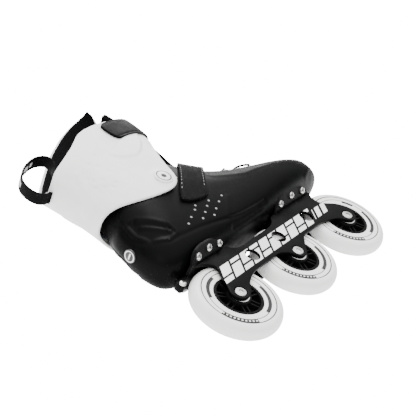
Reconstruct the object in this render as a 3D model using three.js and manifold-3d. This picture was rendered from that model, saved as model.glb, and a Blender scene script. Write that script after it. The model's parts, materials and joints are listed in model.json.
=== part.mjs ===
// Inline skate for the right foot: moulded boot with a hinged cuff, on a frame with three wheels.
// It is drawn as it is worn, in millimetres: X runs towards the toe, Y to the skater's left, Z up,
// from the ground under the middle wheel's axle. The whole skate is then laid on its left side.
import * as THREE from 'three';
import { mergeVertices } from 'three/addons/utils/BufferGeometryUtils.js';
import Module from 'manifold-3d';

const wasm = await Module();
wasm.setup();

// ---- Driving dimensions (mm) ----
const WHEEL_RADIUS = 55;        // 110 mm wheel
const WHEEL_PITCH = 130;        // axle to axle
const HUB_HALF = 12;            // half of the hub's width
const TYRE_HALF = 10.6;         // half of the tyre's flat width
const TYRE_BORE = 30;           // radius where tyre and core meet
const BEARING_RADIUS = 11;      // 608 bearing: 22 x 8 x 7
const BEARING_BORE = 4;
const BEARING_WIDTH = 7;
const AXLE_HEAD_RADIUS = 7;
const RAIL_INNER = 13;          // inner face of a rail, from the middle plane
const RAIL_THICKNESS = 4;
const PLATE_THICKNESS = 3;      // sole plates of the frame
const PLATE_HALF = 33;          // half of a sole plate's width
const PLATE_FLAT_HALF = 19;     // half of its flat middle
const PLATE_RISE = 9;           // how far its wings rise at the edge
const PLATE_Z = 112;            // underside of the flat middle
const SCREW_RADIUS = 2;
const SCREW_HEAD = 4.6;
const SHELL_WALL = 4;
const LINER_WALL = 5;
const LINER_GAP = 0.8;          // between shell and liner
const CUFF_WALL = 3.6;
const PIVOT_X = -83;            // cuff pivot, above the ankle
const PIVOT_Z = 214;
const PIVOT_SHANK = 4;
const PIVOT_CAP = 11.5;
const PIVOT_BOSS = 15;
const PIVOT_OUT = 50.5;         // outer face of the cuff's pivot boss, from the middle plane
const SLOT_HALF = 21;           // half of the lacing gap in the shell
const SLOT_TOE = 97;            // toe end of the lacing gap
const TONGUE_PROUD = 0.4;       // how far the tongue stands above the shell
const LACE_RADIUS = 1.5;
const STRAP_THICKNESS = 2.6;
const CUFF_STRAP_WIDTH = 32;
const CUFF_STRAP_Z = 310;       // middle of the cuff strap at the sides
const GAP = 0.3;                // clearance between pieces that meet
// Turns in degrees that lay the skate on its left side, so that it rests on the rear wheel, the
// sole's edge and the left cuff pivot.
const LIE = { roll: -78.46, pitch: -0.64, yaw: -3.15 };

const RAIL_OUTER = RAIL_INNER + RAIL_THICKNESS;
const AXLES = { rear: -WHEEL_PITCH, middle: 0, front: WHEEL_PITCH };

// ---- Colours and finishes ----
const finish = {
  tyre: { color: 0xf0f0ec, roughness: 0.35, metalness: 0 },
  core: { color: 0x101010, roughness: 0.45, metalness: 0 },
  steel: { color: 0xb8b8b8, roughness: 0.25, metalness: 1 },
  frame: { color: 0x161616, roughness: 0.4, metalness: 0.3 },
  shell: { color: 0x1a1a1a, roughness: 0.45, metalness: 0 },
  cuff: { color: 0xf2f2f0, roughness: 0.3, metalness: 0 },
  liner: { color: 0x0c0c0c, roughness: 0.95, metalness: 0 },
  webbing: { color: 0x121212, roughness: 0.85, metalness: 0 },
};

// ---- Solids ----
function toSolid(geometry) {
  const bare = geometry.index ? geometry.toNonIndexed() : geometry.clone();
  bare.deleteAttribute('normal');
  bare.deleteAttribute('uv');
  const merged = mergeVertices(bare, 1e-4);
  return new wasm.Manifold(new wasm.Mesh({
    numProp: 3,
    vertProperties: new Float32Array(merged.attributes.position.array),
    triVerts: new Uint32Array(merged.index.array),
  }));
}

function toGeometry(solid) {
  const mesh = solid.getMesh();
  const geometry = new THREE.BufferGeometry();
  geometry.setAttribute('position', new THREE.BufferAttribute(mesh.vertProperties, 3));
  geometry.setIndex(new THREE.BufferAttribute(mesh.triVerts, 1));
  geometry.computeVertexNormals();
  return geometry;
}

// A closed profile of [radius, y] points, turned about Y; the points run anticlockwise.
function turned(profile, segments) {
  const points = [...profile, profile[0]].map(([r, y]) => new THREE.Vector2(r, y));
  return new THREE.LatheGeometry(points, segments);
}

// A profile of [radius, y] points that starts and ends on the axis, turned about Y.
function turnedSolid(profile, segments) {
  return new THREE.LatheGeometry(profile.map(([r, y]) => new THREE.Vector2(r, y)), segments);
}

// A side outline of [x, z] points, extruded across the skate from y0 to y1.
function sidePrism(outline, y0, y1, holes = []) {
  const shape = new THREE.Shape(outline.map(([x, z]) => new THREE.Vector2(x, z)));
  for (const [x, z, r] of holes) {
    const hole = new THREE.Path();
    hole.absarc(x, z, r, 0, 2 * Math.PI, true);
    shape.holes.push(hole);
  }
  const geometry = new THREE.ExtrudeGeometry(shape, { depth: y1 - y0, bevelEnabled: false, curveSegments: 7 });
  return geometry.rotateX(Math.PI / 2).translate(0, y1, 0);
}

// A plan outline of [x, y] points, extruded upwards from z0 to z1.
function planPrism(outline, z0, z1) {
  const shape = new THREE.Shape(outline.map(([x, y]) => new THREE.Vector2(x, y)));
  return new THREE.ExtrudeGeometry(shape, { depth: z1 - z0, bevelEnabled: false }).translate(0, 0, z0);
}

function cylinderY(radius, y0, y1, segments = 20) {
  return new THREE.CylinderGeometry(radius, radius, y1 - y0, segments).translate(0, (y0 + y1) / 2, 0);
}

// Joins equal rings of points into one closed skin, with a flat fan over each end.
function loft(rings) {
  const count = rings[0].length;
  const positions = rings.flat().flatMap((p) => [p.x, p.y, p.z]);
  const faces = [];
  for (let r = 0; r + 1 < rings.length; r += 1) {
    for (let i = 0; i < count; i += 1) {
      const a = r * count + i;
      const b = r * count + ((i + 1) % count);
      faces.push(a, b, b + count, a, b + count, a + count);
    }
  }
  const addCap = (ring, start, flip) => {
    const centre = ring.reduce((sum, p) => sum.add(p), new THREE.Vector3()).divideScalar(count);
    const hub = positions.length / 3;
    positions.push(centre.x, centre.y, centre.z);
    for (let i = 0; i < count; i += 1) {
      const next = (i + 1) % count;
      faces.push(...(flip ? [hub, start + next, start + i] : [hub, start + i, start + next]));
    }
  };
  addCap(rings[0], 0, true);
  addCap(rings.at(-1), (rings.length - 1) * count, false);
  if (signedVolume(positions, faces) < 0) faces.reverse();
  const geometry = new THREE.BufferGeometry();
  geometry.setAttribute('position', new THREE.Float32BufferAttribute(positions, 3));
  geometry.setIndex(faces);
  return geometry;
}

// Six times the volume inside a closed skin, negative where its faces point inwards.
function signedVolume(positions, faces) {
  const corner = (index) => new THREE.Vector3().fromArray(positions, 3 * index);
  let volume = 0;
  for (let f = 0; f < faces.length; f += 3) {
    volume += corner(faces[f]).dot(corner(faces[f + 1]).cross(corner(faces[f + 2])));
  }
  return volume;
}

const lerp = THREE.MathUtils.lerp;
const degrees = THREE.MathUtils.degToRad;
const power = (value, exponent) => Math.sign(value) * Math.abs(value) ** exponent;

const skate = new THREE.Group();

function add(name, geometry, look) {
  const mesh = new THREE.Mesh(geometry, new THREE.MeshStandardMaterial(finish[look]));
  mesh.name = name;
  skate.add(mesh);
  return mesh;
}

// ---- Wheels ----
function tyreGeometry() {
  const shoulder = WHEEL_RADIUS - 12;
  const profile = [[TYRE_BORE, -TYRE_HALF], [shoulder, -TYRE_HALF]];
  for (let step = 1; step < 6; step += 1) {
    const angle = (step / 6) * Math.PI - Math.PI / 2;
    profile.push([shoulder + (WHEEL_RADIUS - shoulder) * Math.cos(angle), TYRE_HALF * Math.sin(angle)]);
  }
  profile.push([shoulder, TYRE_HALF], [TYRE_BORE, TYRE_HALF]);
  return turned(profile, 30);
}

function coreGeometry() {
  const seat = HUB_HALF - BEARING_WIDTH - GAP;
  const bore = BEARING_RADIUS + GAP;
  const shoulder = BEARING_RADIUS - 2;
  const rim = toSolid(turned([[26, -TYRE_HALF], [TYRE_BORE - GAP, -TYRE_HALF],
    [TYRE_BORE - GAP, TYRE_HALF], [26, TYRE_HALF]], 24));
  const hub = toSolid(turned([[shoulder, -seat], [bore, -seat], [bore, -HUB_HALF], [14.5, -HUB_HALF],
    [14.5, HUB_HALF], [bore, HUB_HALF], [bore, seat], [shoulder, seat]], 14));
  let core = rim.add(hub);
  const spokes = 7;
  for (let index = 0; index < spokes; index += 1) {
    const spoke = new THREE.BoxGeometry(14, 2 * HUB_HALF - 4, 6).translate(20.5, 0, 0);
    core = core.add(toSolid(spoke.rotateY((index / spokes) * 2 * Math.PI)));
  }
  return toGeometry(core);
}

const INNER_RACE = 6.2;          // outer radius of a bearing's inner race
const SHIELD = 0.6;             // thickness of the shields pressed into the outer race

function innerRaceGeometry(side) {
  const near = HUB_HALF - BEARING_WIDTH;
  return turned([[BEARING_BORE + GAP, near], [INNER_RACE, near], [INNER_RACE, HUB_HALF],
    [BEARING_BORE + GAP, HUB_HALF]], 14).rotateX(side > 0 ? 0 : Math.PI);
}

// The outer race with its two shields, which reach in almost to the inner race.
function outerRaceGeometry(side) {
  const near = HUB_HALF - BEARING_WIDTH;
  const lip = INNER_RACE + GAP;
  const track = BEARING_RADIUS - 1.7;
  return turned([[lip, near], [BEARING_RADIUS, near], [BEARING_RADIUS, HUB_HALF], [lip, HUB_HALF],
    [lip, HUB_HALF - SHIELD], [track, HUB_HALF - SHIELD], [track, near + SHIELD], [lip, near + SHIELD]], 14)
    .rotateX(side > 0 ? 0 : Math.PI);
}

function addWheel(position, axleX) {
  const place = (mesh) => mesh.position.set(axleX, 0, WHEEL_RADIUS);
  place(add(`tyre_${position}`, tyreGeometry(), 'tyre'));
  place(add(`wheel_core_${position}`, coreGeometry(), 'core'));
  for (const [hand, side] of [['right', -1], ['left', 1]]) {
    place(add(`outer_race_${position}_${hand}`, outerRaceGeometry(side), 'steel'));
    place(add(`inner_race_${position}_${hand}`, innerRaceGeometry(side), 'steel'));
  }
  const half = HUB_HALF - BEARING_WIDTH - GAP;
  place(add(`bearing_spacer_${position}`, turned([[BEARING_BORE + GAP, -half], [5.6, -half],
    [5.6, half], [BEARING_BORE + GAP, half]], 14), 'steel'));
  const headFace = -RAIL_OUTER + 0.2;
  const seatFace = -RAIL_OUTER + 2.2;
  place(add(`axle_${position}`, turnedSolid([[0, headFace], [AXLE_HEAD_RADIUS - 1, headFace],
    [AXLE_HEAD_RADIUS, headFace + 0.8], [AXLE_HEAD_RADIUS, seatFace - GAP], [BEARING_BORE, seatFace - GAP],
    [BEARING_BORE, RAIL_OUTER - 0.2], [0, RAIL_OUTER - 0.2]], 18), 'steel'));
}

// ---- Frame: two rails, a cross web and two winged sole plates ----
const REAR_PLATE = { x0: -150, x1: -84 };
const FRONT_PLATE = { x0: 34, x1: 120 };
const HEEL_BOLT = { x: -165, z: 108, radius: 2, head: 4, tab: 5 };

// Outline of one side of the frame, heel to toe along the bottom and back along the top.
const RAIL_OUTLINE = [
  [-146, PLATE_Z + 1], [-126, 105], [-120, 96], [-128, 82], [-135, 71], [-142, 62], [-143, 55], [-140, 48],
  [-133, 44.5], [-125, 45], [-117, 49], [-109, 56], [-99, 61], [-90, 64], [-77, 66],
  [-29, 66], [-21, 63], [-14, 58], [-10, 50], [-4, 45], [4, 45], [10, 48], [16, 54], [24, 60], [31, 65],
  [38, 67], [80, 67], [94, 64], [109, 59], [117, 52], [124, 45.5], [133, 44.5], [140, 49], [144, 57],
  [142, 67], [136, 77], [119, 89], [115, 97], [117, 106], [119, PLATE_Z + 1],
  [30, PLATE_Z + 1], [18, 106], [5, 102], [-60, 101], [-74, 106], [-82, PLATE_Z + 1],
];
const RAIL_HOLES = [[-61, 83.5, 9.5], [0, 84, 9.5], [72, 86, 9.5]];

// A plate that is flat under the sole's middle, with wings that rise to its edges.
function wingedPlate({ x0, x1 }, thickness, grow = 0, under = 0) {
  const half = PLATE_HALF + grow;
  const rise = PLATE_RISE + (grow * PLATE_RISE) / (PLATE_HALF - PLATE_FLAT_HALF);
  const section = [[-half, PLATE_Z + rise - under], [-PLATE_FLAT_HALF, PLATE_Z - under],
    [PLATE_FLAT_HALF, PLATE_Z - under], [half, PLATE_Z + rise - under], [half, PLATE_Z + rise + thickness * 1.2],
    [PLATE_FLAT_HALF - 0.6, PLATE_Z + thickness], [-PLATE_FLAT_HALF + 0.6, PLATE_Z + thickness],
    [-half, PLATE_Z + rise + thickness * 1.2]];
  const gutter = sidePrism(section, x0 - grow, x1 + grow).rotateZ(-Math.PI / 2);
  const middle = (x0 + x1) / 2;
  const length = (x1 - x0) / 2 + grow;
  const leaf = [];
  for (let step = 0; step < 16; step += 1) {
    const angle = (step / 16) * 2 * Math.PI;
    leaf.push([middle + length * power(Math.cos(angle), 0.75), half * power(Math.sin(angle), 0.6)]);
  }
  return toSolid(gutter).intersect(toSolid(planPrism(leaf, PLATE_Z - 40, PLATE_Z + 30)));
}

function frameGeometry() {
  const rails = toSolid(sidePrism(RAIL_OUTLINE, -RAIL_OUTER, RAIL_OUTER, RAIL_HOLES));
  const channel = [[-200, 30], [200, 30], [200, PLATE_Z], [36, PLATE_Z], [20, 130],
    [-40, 130], [-44, 97], [-84, 97], [-88, PLATE_Z], [-200, PLATE_Z]];
  let frame = rails.subtract(toSolid(sidePrism(channel, -RAIL_INNER, RAIL_INNER)));
  frame = frame.add(wingedPlate(REAR_PLATE, PLATE_THICKNESS)).add(wingedPlate(FRONT_PLATE, PLATE_THICKNESS));
  const tab = [[-156, PLATE_Z - 1], [-144, PLATE_Z], [-144, PLATE_Z + PLATE_THICKNESS],
    [-167, PLATE_Z + PLATE_THICKNESS], [-169.5, 110], [-168, 105.5], [-165, 104], [-161, 105.5]];
  frame = frame.add(toSolid(sidePrism(tab, -HEEL_BOLT.tab, HEEL_BOLT.tab)));
  const boss = toSolid(cylinderY(7, HUB_HALF + GAP, RAIL_INNER + 1, 16));
  for (const axleX of Object.values(AXLES)) {
    frame = frame.add(boss.translate(axleX, 0, WHEEL_RADIUS));
    frame = frame.add(boss.rotate([180, 0, 0]).translate(axleX, 0, WHEEL_RADIUS));
  }
  for (const axleX of Object.values(AXLES)) {
    const bore = toSolid(cylinderY(BEARING_BORE + GAP, -RAIL_OUTER - 1, RAIL_OUTER + 1, 12));
    const recess = toSolid(cylinderY(AXLE_HEAD_RADIUS + 0.8, -RAIL_OUTER - 1, -RAIL_OUTER + 2.2, 18));
    frame = frame.subtract(bore.translate(axleX, 0, WHEEL_RADIUS));
    frame = frame.subtract(recess.translate(axleX, 0, WHEEL_RADIUS));
  }
  frame = frame.subtract(toSolid(cylinderY(HEEL_BOLT.radius + GAP, -20, 20, 14)
    .translate(HEEL_BOLT.x, 0, HEEL_BOLT.z)));
  for (const { point, axis } of plateScrews()) frame = frame.subtract(screwHole(point, axis));
  return toGeometry(frame);
}

// ---- Screws that hold the sole plates to the boot ----
function plateScrews() {
  const slope = Math.atan2(PLATE_RISE, PLATE_HALF - PLATE_FLAT_HALF);
  const screws = [];
  for (const [plate, places] of [['rear', [-134, -112, -91]], ['front', [50, 77, 104]]]) {
    for (const [hand, side] of [['right', -1], ['left', 1]]) {
      places.forEach((x, index) => {
        const y = index === 1 ? 26.5 : 24.5;
        const z = PLATE_Z + (y - PLATE_FLAT_HALF) * Math.tan(slope);
        screws.push({
          name: `plate_screw_${plate}_${hand}_${index + 1}`,
          point: new THREE.Vector3(x, side * y, z),
          axis: new THREE.Vector3(0, side * Math.sin(slope), -Math.cos(slope)),
        });
      });
    }
  }
  return screws;
}

// Turns a body drawn along -Y, with its head at -Y, onto a point and an outward direction.
function aim(geometry, point, axis) {
  const turn = new THREE.Quaternion().setFromUnitVectors(new THREE.Vector3(0, -1, 0), axis);
  return geometry.applyQuaternion(turn).translate(point.x, point.y, point.z);
}

function screwHole(point, axis) {
  return toSolid(aim(cylinderY(SCREW_RADIUS + GAP, -8, 14, 8), point.clone(), axis));
}

function screwGeometry({ point, axis }) {
  const head = turnedSolid([[0, -2.8], [SCREW_HEAD * 0.6, -2.3], [SCREW_HEAD, -0.9], [SCREW_HEAD, -GAP],
    [SCREW_RADIUS, -GAP], [SCREW_RADIUS, 5.5], [0, 5.5]], 8);
  return aim(head, point, axis);
}

// Cross bolt through the tab behind the rear plate, for a heel brake.
function heelBoltGeometry() {
  const seat = HEEL_BOLT.tab + GAP;
  return turnedSolid([[0, -seat - 3], [HEEL_BOLT.head - 0.8, -seat - 3], [HEEL_BOLT.head, -seat - 2],
    [HEEL_BOLT.head, -seat], [HEEL_BOLT.radius, -seat], [HEEL_BOLT.radius, seat + 2], [0, seat + 2]], 12)
    .translate(HEEL_BOLT.x, 0, HEEL_BOLT.z);
}

// ---- Boot ----
// Stations of the boot, toe to ankle: bottom [x, z], top [x, z], half width, and the roundness
// of the lower half. The section planes fan out from upright at the toe to level at the ankle.
const STATIONS = [
  [[165, 128], [170, 148], 15, 2.4],
  [[158, 120.5], [162, 157], 26, 2.6],
  [[141, 117], [148, 166], 36.5, 2.6],
  [[114, 116], [122, 173], 44.5, 2.6],
  [[84, 115.6], [95, 180], 48.5, 2.6],
  [[54, 115.6], [68, 188], 49, 2.6],
  [[22, 115.6], [46, 198], 46.5, 2.8],
  [[-12, 115.6], [27, 209.5], 44, 2.8],
  [[-48, 115.6], [11, 223], 42.5, 3.0],
  [[-86, 115.8], [0, 238], 42, 3.0],
  [[-126, 117], [-8, 251], 42.5, 3.0],
  [[-158, 122], [-14, 261], 43, 2.7],
  [[-171, 136], [-18, 269], 43.5, 2.4],
  [[-174.5, 158], [-21, 276], 43, 2.15],
  [[-172, 180], [-23, 283], 41.5, 2],
  [[-167, 200], [-25, 290], 40, 1.95],
  [[-156, 220], [-29, 297], 39, 1.9],
  [[-152, 244], [-33, 304], 38, 1.9],
];

// A point of the boot's skin: station may lie between two listed ones; angle runs from the
// sole's middle (0) over the right side to the top (pi); inset moves it into the wall.
function bootPoint(station, angle, inset = 0) {
  const index = Math.min(Math.floor(station), STATIONS.length - 2);
  const [low, high] = [STATIONS[index], STATIONS[index + 1]];
  const part = station - index;
  const mix = (pick) => lerp(pick(low), pick(high), part);
  const bottom = new THREE.Vector2(mix((s) => s[0][0]), mix((s) => s[0][1]));
  const top = new THREE.Vector2(mix((s) => s[1][0]), mix((s) => s[1][1]));
  const halfWidth = mix((s) => s[2]) - inset;
  const across = Math.sin(angle);
  const along = -Math.cos(angle);
  const roundness = along < 0 ? mix((s) => s[3]) : 2.25;
  const middle = bottom.clone().add(top).multiplyScalar(0.5);
  const half = top.clone().sub(bottom).multiplyScalar(0.5);
  const scale = 1 - inset / half.length();
  const reach = power(along, 2 / roundness) * scale;
  return new THREE.Vector3(middle.x + half.x * reach, -halfWidth * power(across, 2 / roundness),
    middle.y + half.y * reach);
}

function bootRing(station, inset, sides) {
  const ring = [];
  for (let index = 0; index < sides; index += 1) {
    ring.push(bootPoint(station, -(index / sides) * 2 * Math.PI, inset));
  }
  return ring;
}

// A sock-shaped hollow body between two insets, from a toe station to the ankle.
function hollowBoot(outerInset, innerInset, outerToe, innerToe, sides) {
  const last = STATIONS.length - 1;
  const rings = [];
  for (let station = outerToe; station <= last; station += 1) rings.push(bootRing(station, outerInset, sides));
  for (let station = last; station >= innerToe; station -= 1) rings.push(bootRing(station, innerInset, sides));
  return toSolid(loft(rings));
}

// The rigid boot ends in a shallow V above the pivot; the flexing upper starts above a steeper one.
function ankleLine(offset, rise, fall) {
  const reach = 190;
  const front = [PIVOT_X + reach, PIVOT_Z + offset + reach * Math.tan(degrees(rise))];
  const back = [PIVOT_X - reach, PIVOT_Z + offset + reach * Math.tan(degrees(fall))];
  return { front, back, middle: [PIVOT_X, PIVOT_Z + offset] };
}
const RIGID_TOP = ankleLine(12, 21, 12);
const UPPER_START = ankleLine(16, 38, 18);

function above({ front, back, middle }) {
  return toSolid(sidePrism([middle, front, [front[0], 600], [back[0], 600], back], -100, 100));
}

function below({ front, back, middle }) {
  return toSolid(sidePrism([back, [back[0], 0], [front[0], 0], front, middle], -100, 100));
}

function slotSolid(half) {
  const corner = 8;
  const outline = [[-60, -half], [SLOT_TOE - corner, -half], [SLOT_TOE, -half + corner],
    [SLOT_TOE, half - corner], [SLOT_TOE - corner, half], [-60, half]];
  return toSolid(planPrism(outline, 150, 330));
}

const EYELET_ROWS = [4.8, 5.6, 6.4];   // stations of the lace eyelets
const EYELET_TOP = 1;                // how far an eyelet's flange stands above the shell
const EYELET_ANGLE = 0.8;              // share of the way from the sole's middle to the top

function eyeletPlace(station, side) {
  const angle = side * EYELET_ANGLE * Math.PI;
  const point = bootPoint(station, angle);
  const alongSkin = bootPoint(station + 0.05, angle).sub(point);
  const aroundSkin = bootPoint(station, angle + 0.02).sub(point);
  const normal = alongSkin.cross(aroundSkin).normalize();
  if (normal.z < 0) normal.negate();
  return { point, normal };
}

function shellGeometry() {
  let shell = hollowBoot(0, SHELL_WALL, 0, 1, 22);
  shell = shell.intersect(below(RIGID_TOP)).subtract(slotSolid(SLOT_HALF));
  for (const plate of [REAR_PLATE, FRONT_PLATE]) {
    shell = shell.subtract(wingedPlate(plate, PLATE_THICKNESS + GAP, 2, 20));
  }
  for (const { point, axis } of plateScrews()) shell = shell.subtract(screwHole(point, axis));
  for (const station of EYELET_ROWS) {
    for (const side of [-1, 1]) {
      const { point, normal } = eyeletPlace(station, side);
      shell = shell.subtract(toSolid(aim(cylinderY(3 + GAP, -10, 10, 10), point, normal)));
    }
  }
  shell = shell.subtract(toSolid(cylinderY(PIVOT_SHANK + GAP, -70, 70, 16).translate(PIVOT_X, 0, PIVOT_Z)));
  return toGeometry(shell.subtract(cuffRecess()));
}

function eyeletGeometry(station, side) {
  const { point, normal } = eyeletPlace(station, side);
  const ring = turned([[1.6, -EYELET_TOP], [4.4, -EYELET_TOP], [4.4, 0.8 - EYELET_TOP],
    [3, 0.8 - EYELET_TOP], [3, 3], [1.6, 3]], 10);
  return aim(ring, point, normal);
}

const LINER_INSET = SHELL_WALL + LINER_GAP;

function linerFootGeometry() {
  const sock = hollowBoot(LINER_INSET, LINER_INSET + LINER_WALL, 1, 2, 20);
  const bore = toSolid(cylinderY(PIVOT_SHANK + 4, -70, 70, 12).translate(PIVOT_X, 0, PIVOT_Z));
  return toGeometry(sock.intersect(below(RIGID_TOP)).subtract(bore.intersect(sideSlab(39))));
}

// Two slabs that hold only what lies further out than a given width.
function sideSlab(from) {
  const slab = new THREE.BoxGeometry(600, 60, 600).translate(0, from + 30, 200);
  return toSolid(slab).add(toSolid(slab.clone().rotateZ(Math.PI)));
}

function footbedGeometry() {
  const rings = [];
  const inset = LINER_INSET + LINER_WALL + 0.5;
  for (const station of [2.2, 3, 4, 5, 6, 7, 8, 9, 10, 10.8]) {
    const lift = 3.5;
    const ring = [];
    for (const share of [-0.3, -0.2, -0.1, 0, 0.1, 0.2, 0.3]) {
      ring.push(bootPoint(station, share * Math.PI, inset));
    }
    rings.push([...ring, ...ring.slice().reverse().map((p) => new THREE.Vector3(p.x, p.y * 0.985, p.z + lift))]);
  }
  return toGeometry(toSolid(loft(rings)));
}

// The tongue fills the lacing gap and stands a little above the shell.
function tongueLowerGeometry() {
  const rings = [];
  const stations = [4.4, 5, 6, 7, 8, 9, 10];
  for (const station of stations) {
    const top = bootPoint(station, Math.PI);
    const inner = bootPoint(station, Math.PI, LINER_INSET - 0.4);
    const lean = top.clone().sub(inner).normalize();
    const upper = [];
    const lower = [];
    for (const share of [-1, -0.5, 0, 0.5, 1]) {
      const drop = 4.2 * share * share;
      const y = share * (SLOT_HALF - 0.7);
      lower.push(inner.clone().addScaledVector(lean, 0.8 - drop * 0.7).setY(y));
      upper.push(top.clone().addScaledVector(lean, TONGUE_PROUD - drop).setY(y));
    }
    rings.push([...upper, ...lower.reverse()]);
  }
  return toGeometry(toSolid(loft(rings)).intersect(below(RIGID_TOP)));
}

// ---- Lace ----
// It rides on the eyelets, up one side and down to the next row across the tongue.
function laceGeometry() {
  const points = [];
  EYELET_ROWS.forEach((station, row) => {
    const sides = row % 2 === 0 ? [-1, 1] : [1, -1];
    const ends = sides.map((side) => eyeletPlace(station, side));
    const rise = EYELET_TOP + LACE_RADIUS + 4 * GAP;
    const [from, to] = ends.map(({ point, normal }) => point.clone().addScaledVector(normal, rise));
    const crown = bootPoint(station, Math.PI);
    crown.z += TONGUE_PROUD + LACE_RADIUS + 1.2;
    const half = crown.clone().lerp(from, 0.5);
    half.z += 1.6;
    const otherHalf = crown.clone().lerp(to, 0.5);
    otherHalf.z += 1.6;
    points.push(from, half, crown, otherHalf, to);
  });
  const route = new THREE.CatmullRomCurve3(points, false, 'centripetal');
  const section = new THREE.Shape().absarc(0, 0, LACE_RADIUS, 0, 2 * Math.PI, false);
  return new THREE.ExtrudeGeometry(new THREE.Shape(section.getPoints(3).slice(0, -1)), {
    steps: 28, extrudePath: route, bevelEnabled: false,
  });
}

// ---- Cuff ----
const CUFF_LEVELS = [
  // height, back x, front x, half width
  [188, -165, 2, 49],
  [214, -164, 6, 49],
  [240, -163, 9, 48.5],
  [266, -165, 12, 47.5],
  [292, -170, 15, 46.5],
  [318, -175, 18, 46],
  [350, -180, 22, 45],
  [410, -186, 28, 45],
];
const CUFF_ROUNDNESS = 2.15;

function cuffPoint(height, angle, inset = 0) {
  let index = 0;
  while (index < CUFF_LEVELS.length - 2 && CUFF_LEVELS[index + 1][0] < height) index += 1;
  const [low, high] = [CUFF_LEVELS[index], CUFF_LEVELS[index + 1]];
  const part = (height - low[0]) / (high[0] - low[0]);
  const back = lerp(low[1], high[1], part) + inset;
  const front = lerp(low[2], high[2], part) - inset;
  const halfWidth = lerp(low[3], high[3], part) - inset;
  const x = (back + front) / 2 + ((front - back) / 2) * power(Math.cos(angle), 2 / CUFF_ROUNDNESS);
  return new THREE.Vector3(x, halfWidth * power(Math.sin(angle), 2 / CUFF_ROUNDNESS), height);
}

function cuffRing(height, inset, sides) {
  const ring = [];
  for (let index = 0; index < sides; index += 1) ring.push(cuffPoint(height, (index / sides) * 2 * Math.PI, inset));
  return ring;
}

function tube(levels, outerInset, innerInset, sides) {
  const outer = toSolid(loft(levels.map((height) => cuffRing(height, outerInset, sides))));
  const bottom = levels[0] - 1;
  const top = levels.at(-1) + 1;
  const bored = [bottom, ...levels.slice(1, -1), top];
  return outer.subtract(toSolid(loft(bored.map((height) => cuffRing(height, innerInset, sides)))));
}

// The cuff's side outline below its rim, from the back over the pivot lobe to the open front.
const CUFF_OUTLINE = [
  [-200, 230], [-174, 230], [-160, 228], [-150, 222], [-138, 213], [-128, 206.5], [-116, 201], [-101, 197],
  [-87, 196], [-77, 198], [-68, 203], [-61, 212], [-57, 221], [-52, 232], [-46, 243], [-37, 256], [-27, 268],
  [-16, 279], [-4, 292], [2, 306], [4, 330], [10, 360], [18, 390], [22, 440], [-200, 440],
];
// Upper edge, heel to front, as [x, z]: the left wing stands higher and reaches under the right
// one, whose edge is cut lower where the strap closes over it.
const RIM_LEFT = [[-200, 300], [-178, 301], [-170, 304], [-150, 321], [-130, 338], [-111, 351], [-96, 361],
  [-77, 373], [-56, 385], [-36, 394], [-22, 399], [-8, 401], [6, 400], [16, 396], [22, 389], [26, 380], [60, 340]];
const RIM_RIGHT = [[-200, 300], [-178, 301], [-171, 302], [-160, 308], [-144, 312], [-127, 317.5], [-115, 323],
  [-105, 328], [-97, 330.5], [-88, 332], [-66, 333], [-33, 331.5], [60, 328]];
const RIM_STEP = -10;          // where the right edge meets the left one, from the middle plane

// Everything above the upper edge, lowered by drop.
function aboveRim(drop) {
  const over = (edge) => {
    const lowered = edge.map(([x, z]) => [x, z - drop]);
    return [...lowered, [60, 600], [-200, 600]];
  };
  const left = toSolid(sidePrism(over(RIM_LEFT), -90, 90));
  return left.add(toSolid(sidePrism(over(RIM_RIGHT), -90, RIM_STEP)));
}

function cuffGeometry() {
  const levels = CUFF_LEVELS.map((level) => level[0]);
  let cuff = tube(levels, 0, CUFF_WALL, 26).intersect(toSolid(sidePrism(CUFF_OUTLINE, -90, 90)));
  cuff = cuff.subtract(aboveRim(0));
  const boss = toSolid(cylinderY(PIVOT_BOSS, 45.4, PIVOT_OUT, 24).translate(PIVOT_X, 0, PIVOT_Z));
  cuff = cuff.add(boss).add(boss.mirror([0, 1, 0]));
  const bore = toSolid(cylinderY(PIVOT_SHANK + GAP, -70, 70, 16).translate(PIVOT_X, 0, PIVOT_Z));
  return toGeometry(cuff.subtract(bore));
}

// What the shell gives up round the ankle, so that the cuff can swing over it.
function cuffRecess() {
  const levels = CUFF_LEVELS.slice(0, 4).map((level) => level[0]);
  const room = levels.map((height) => cuffRing(height, CUFF_WALL + 2 * GAP, 30));
  const outside = toSolid(new THREE.BoxGeometry(400, 200, 120).translate(-80, 0, levels[0] + 60.5));
  const around = outside.subtract(toSolid(loft([
    room[0].map((p) => p.clone().setZ(levels[0] - 1)), ...room.slice(1), room.at(-1).map((p) => p.clone().setZ(400))])));
  const lowered = CUFF_OUTLINE.map(([x, z]) => [x + 2, z - 4]);
  return around.intersect(toSolid(sidePrism(lowered, -90, 90)));
}

// Rivet with a broad cap outside the cuff and a small flange inside the shell.
function pivotGeometry(side) {
  const outer = PIVOT_OUT + GAP;
  const inner = 44.6 - SHELL_WALL;
  const rivet = turnedSolid([[0, inner - 1.6], [PIVOT_SHANK, inner - 1.6],
    [PIVOT_SHANK, outer], [PIVOT_CAP, outer], [PIVOT_CAP, outer + 1], [PIVOT_CAP - 1.5, outer + 2], [0, outer + 2]], 20);
  return rivet.rotateX(side > 0 ? 0 : Math.PI).translate(PIVOT_X, 0, PIVOT_Z);
}

// ---- Flexing upper part of the liner ----
const COLLAR_DROP = 3;         // how far the collar's edge lies below the cuff's
const COLLAR_FRONT = 0;        // where the collar stops and the tongue begins

function upperLiner(insetOuter, insetInner, sides) {
  const levels = [224, 240, 266, 292, 318, 350, 410];
  return tube(levels, insetOuter, insetInner, sides).intersect(above(UPPER_START));
}

function frontBlock(from, halfWidth) {
  return toSolid(new THREE.BoxGeometry(200, 2 * halfWidth, 500).translate(from + 100, 0, 300));
}

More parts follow.
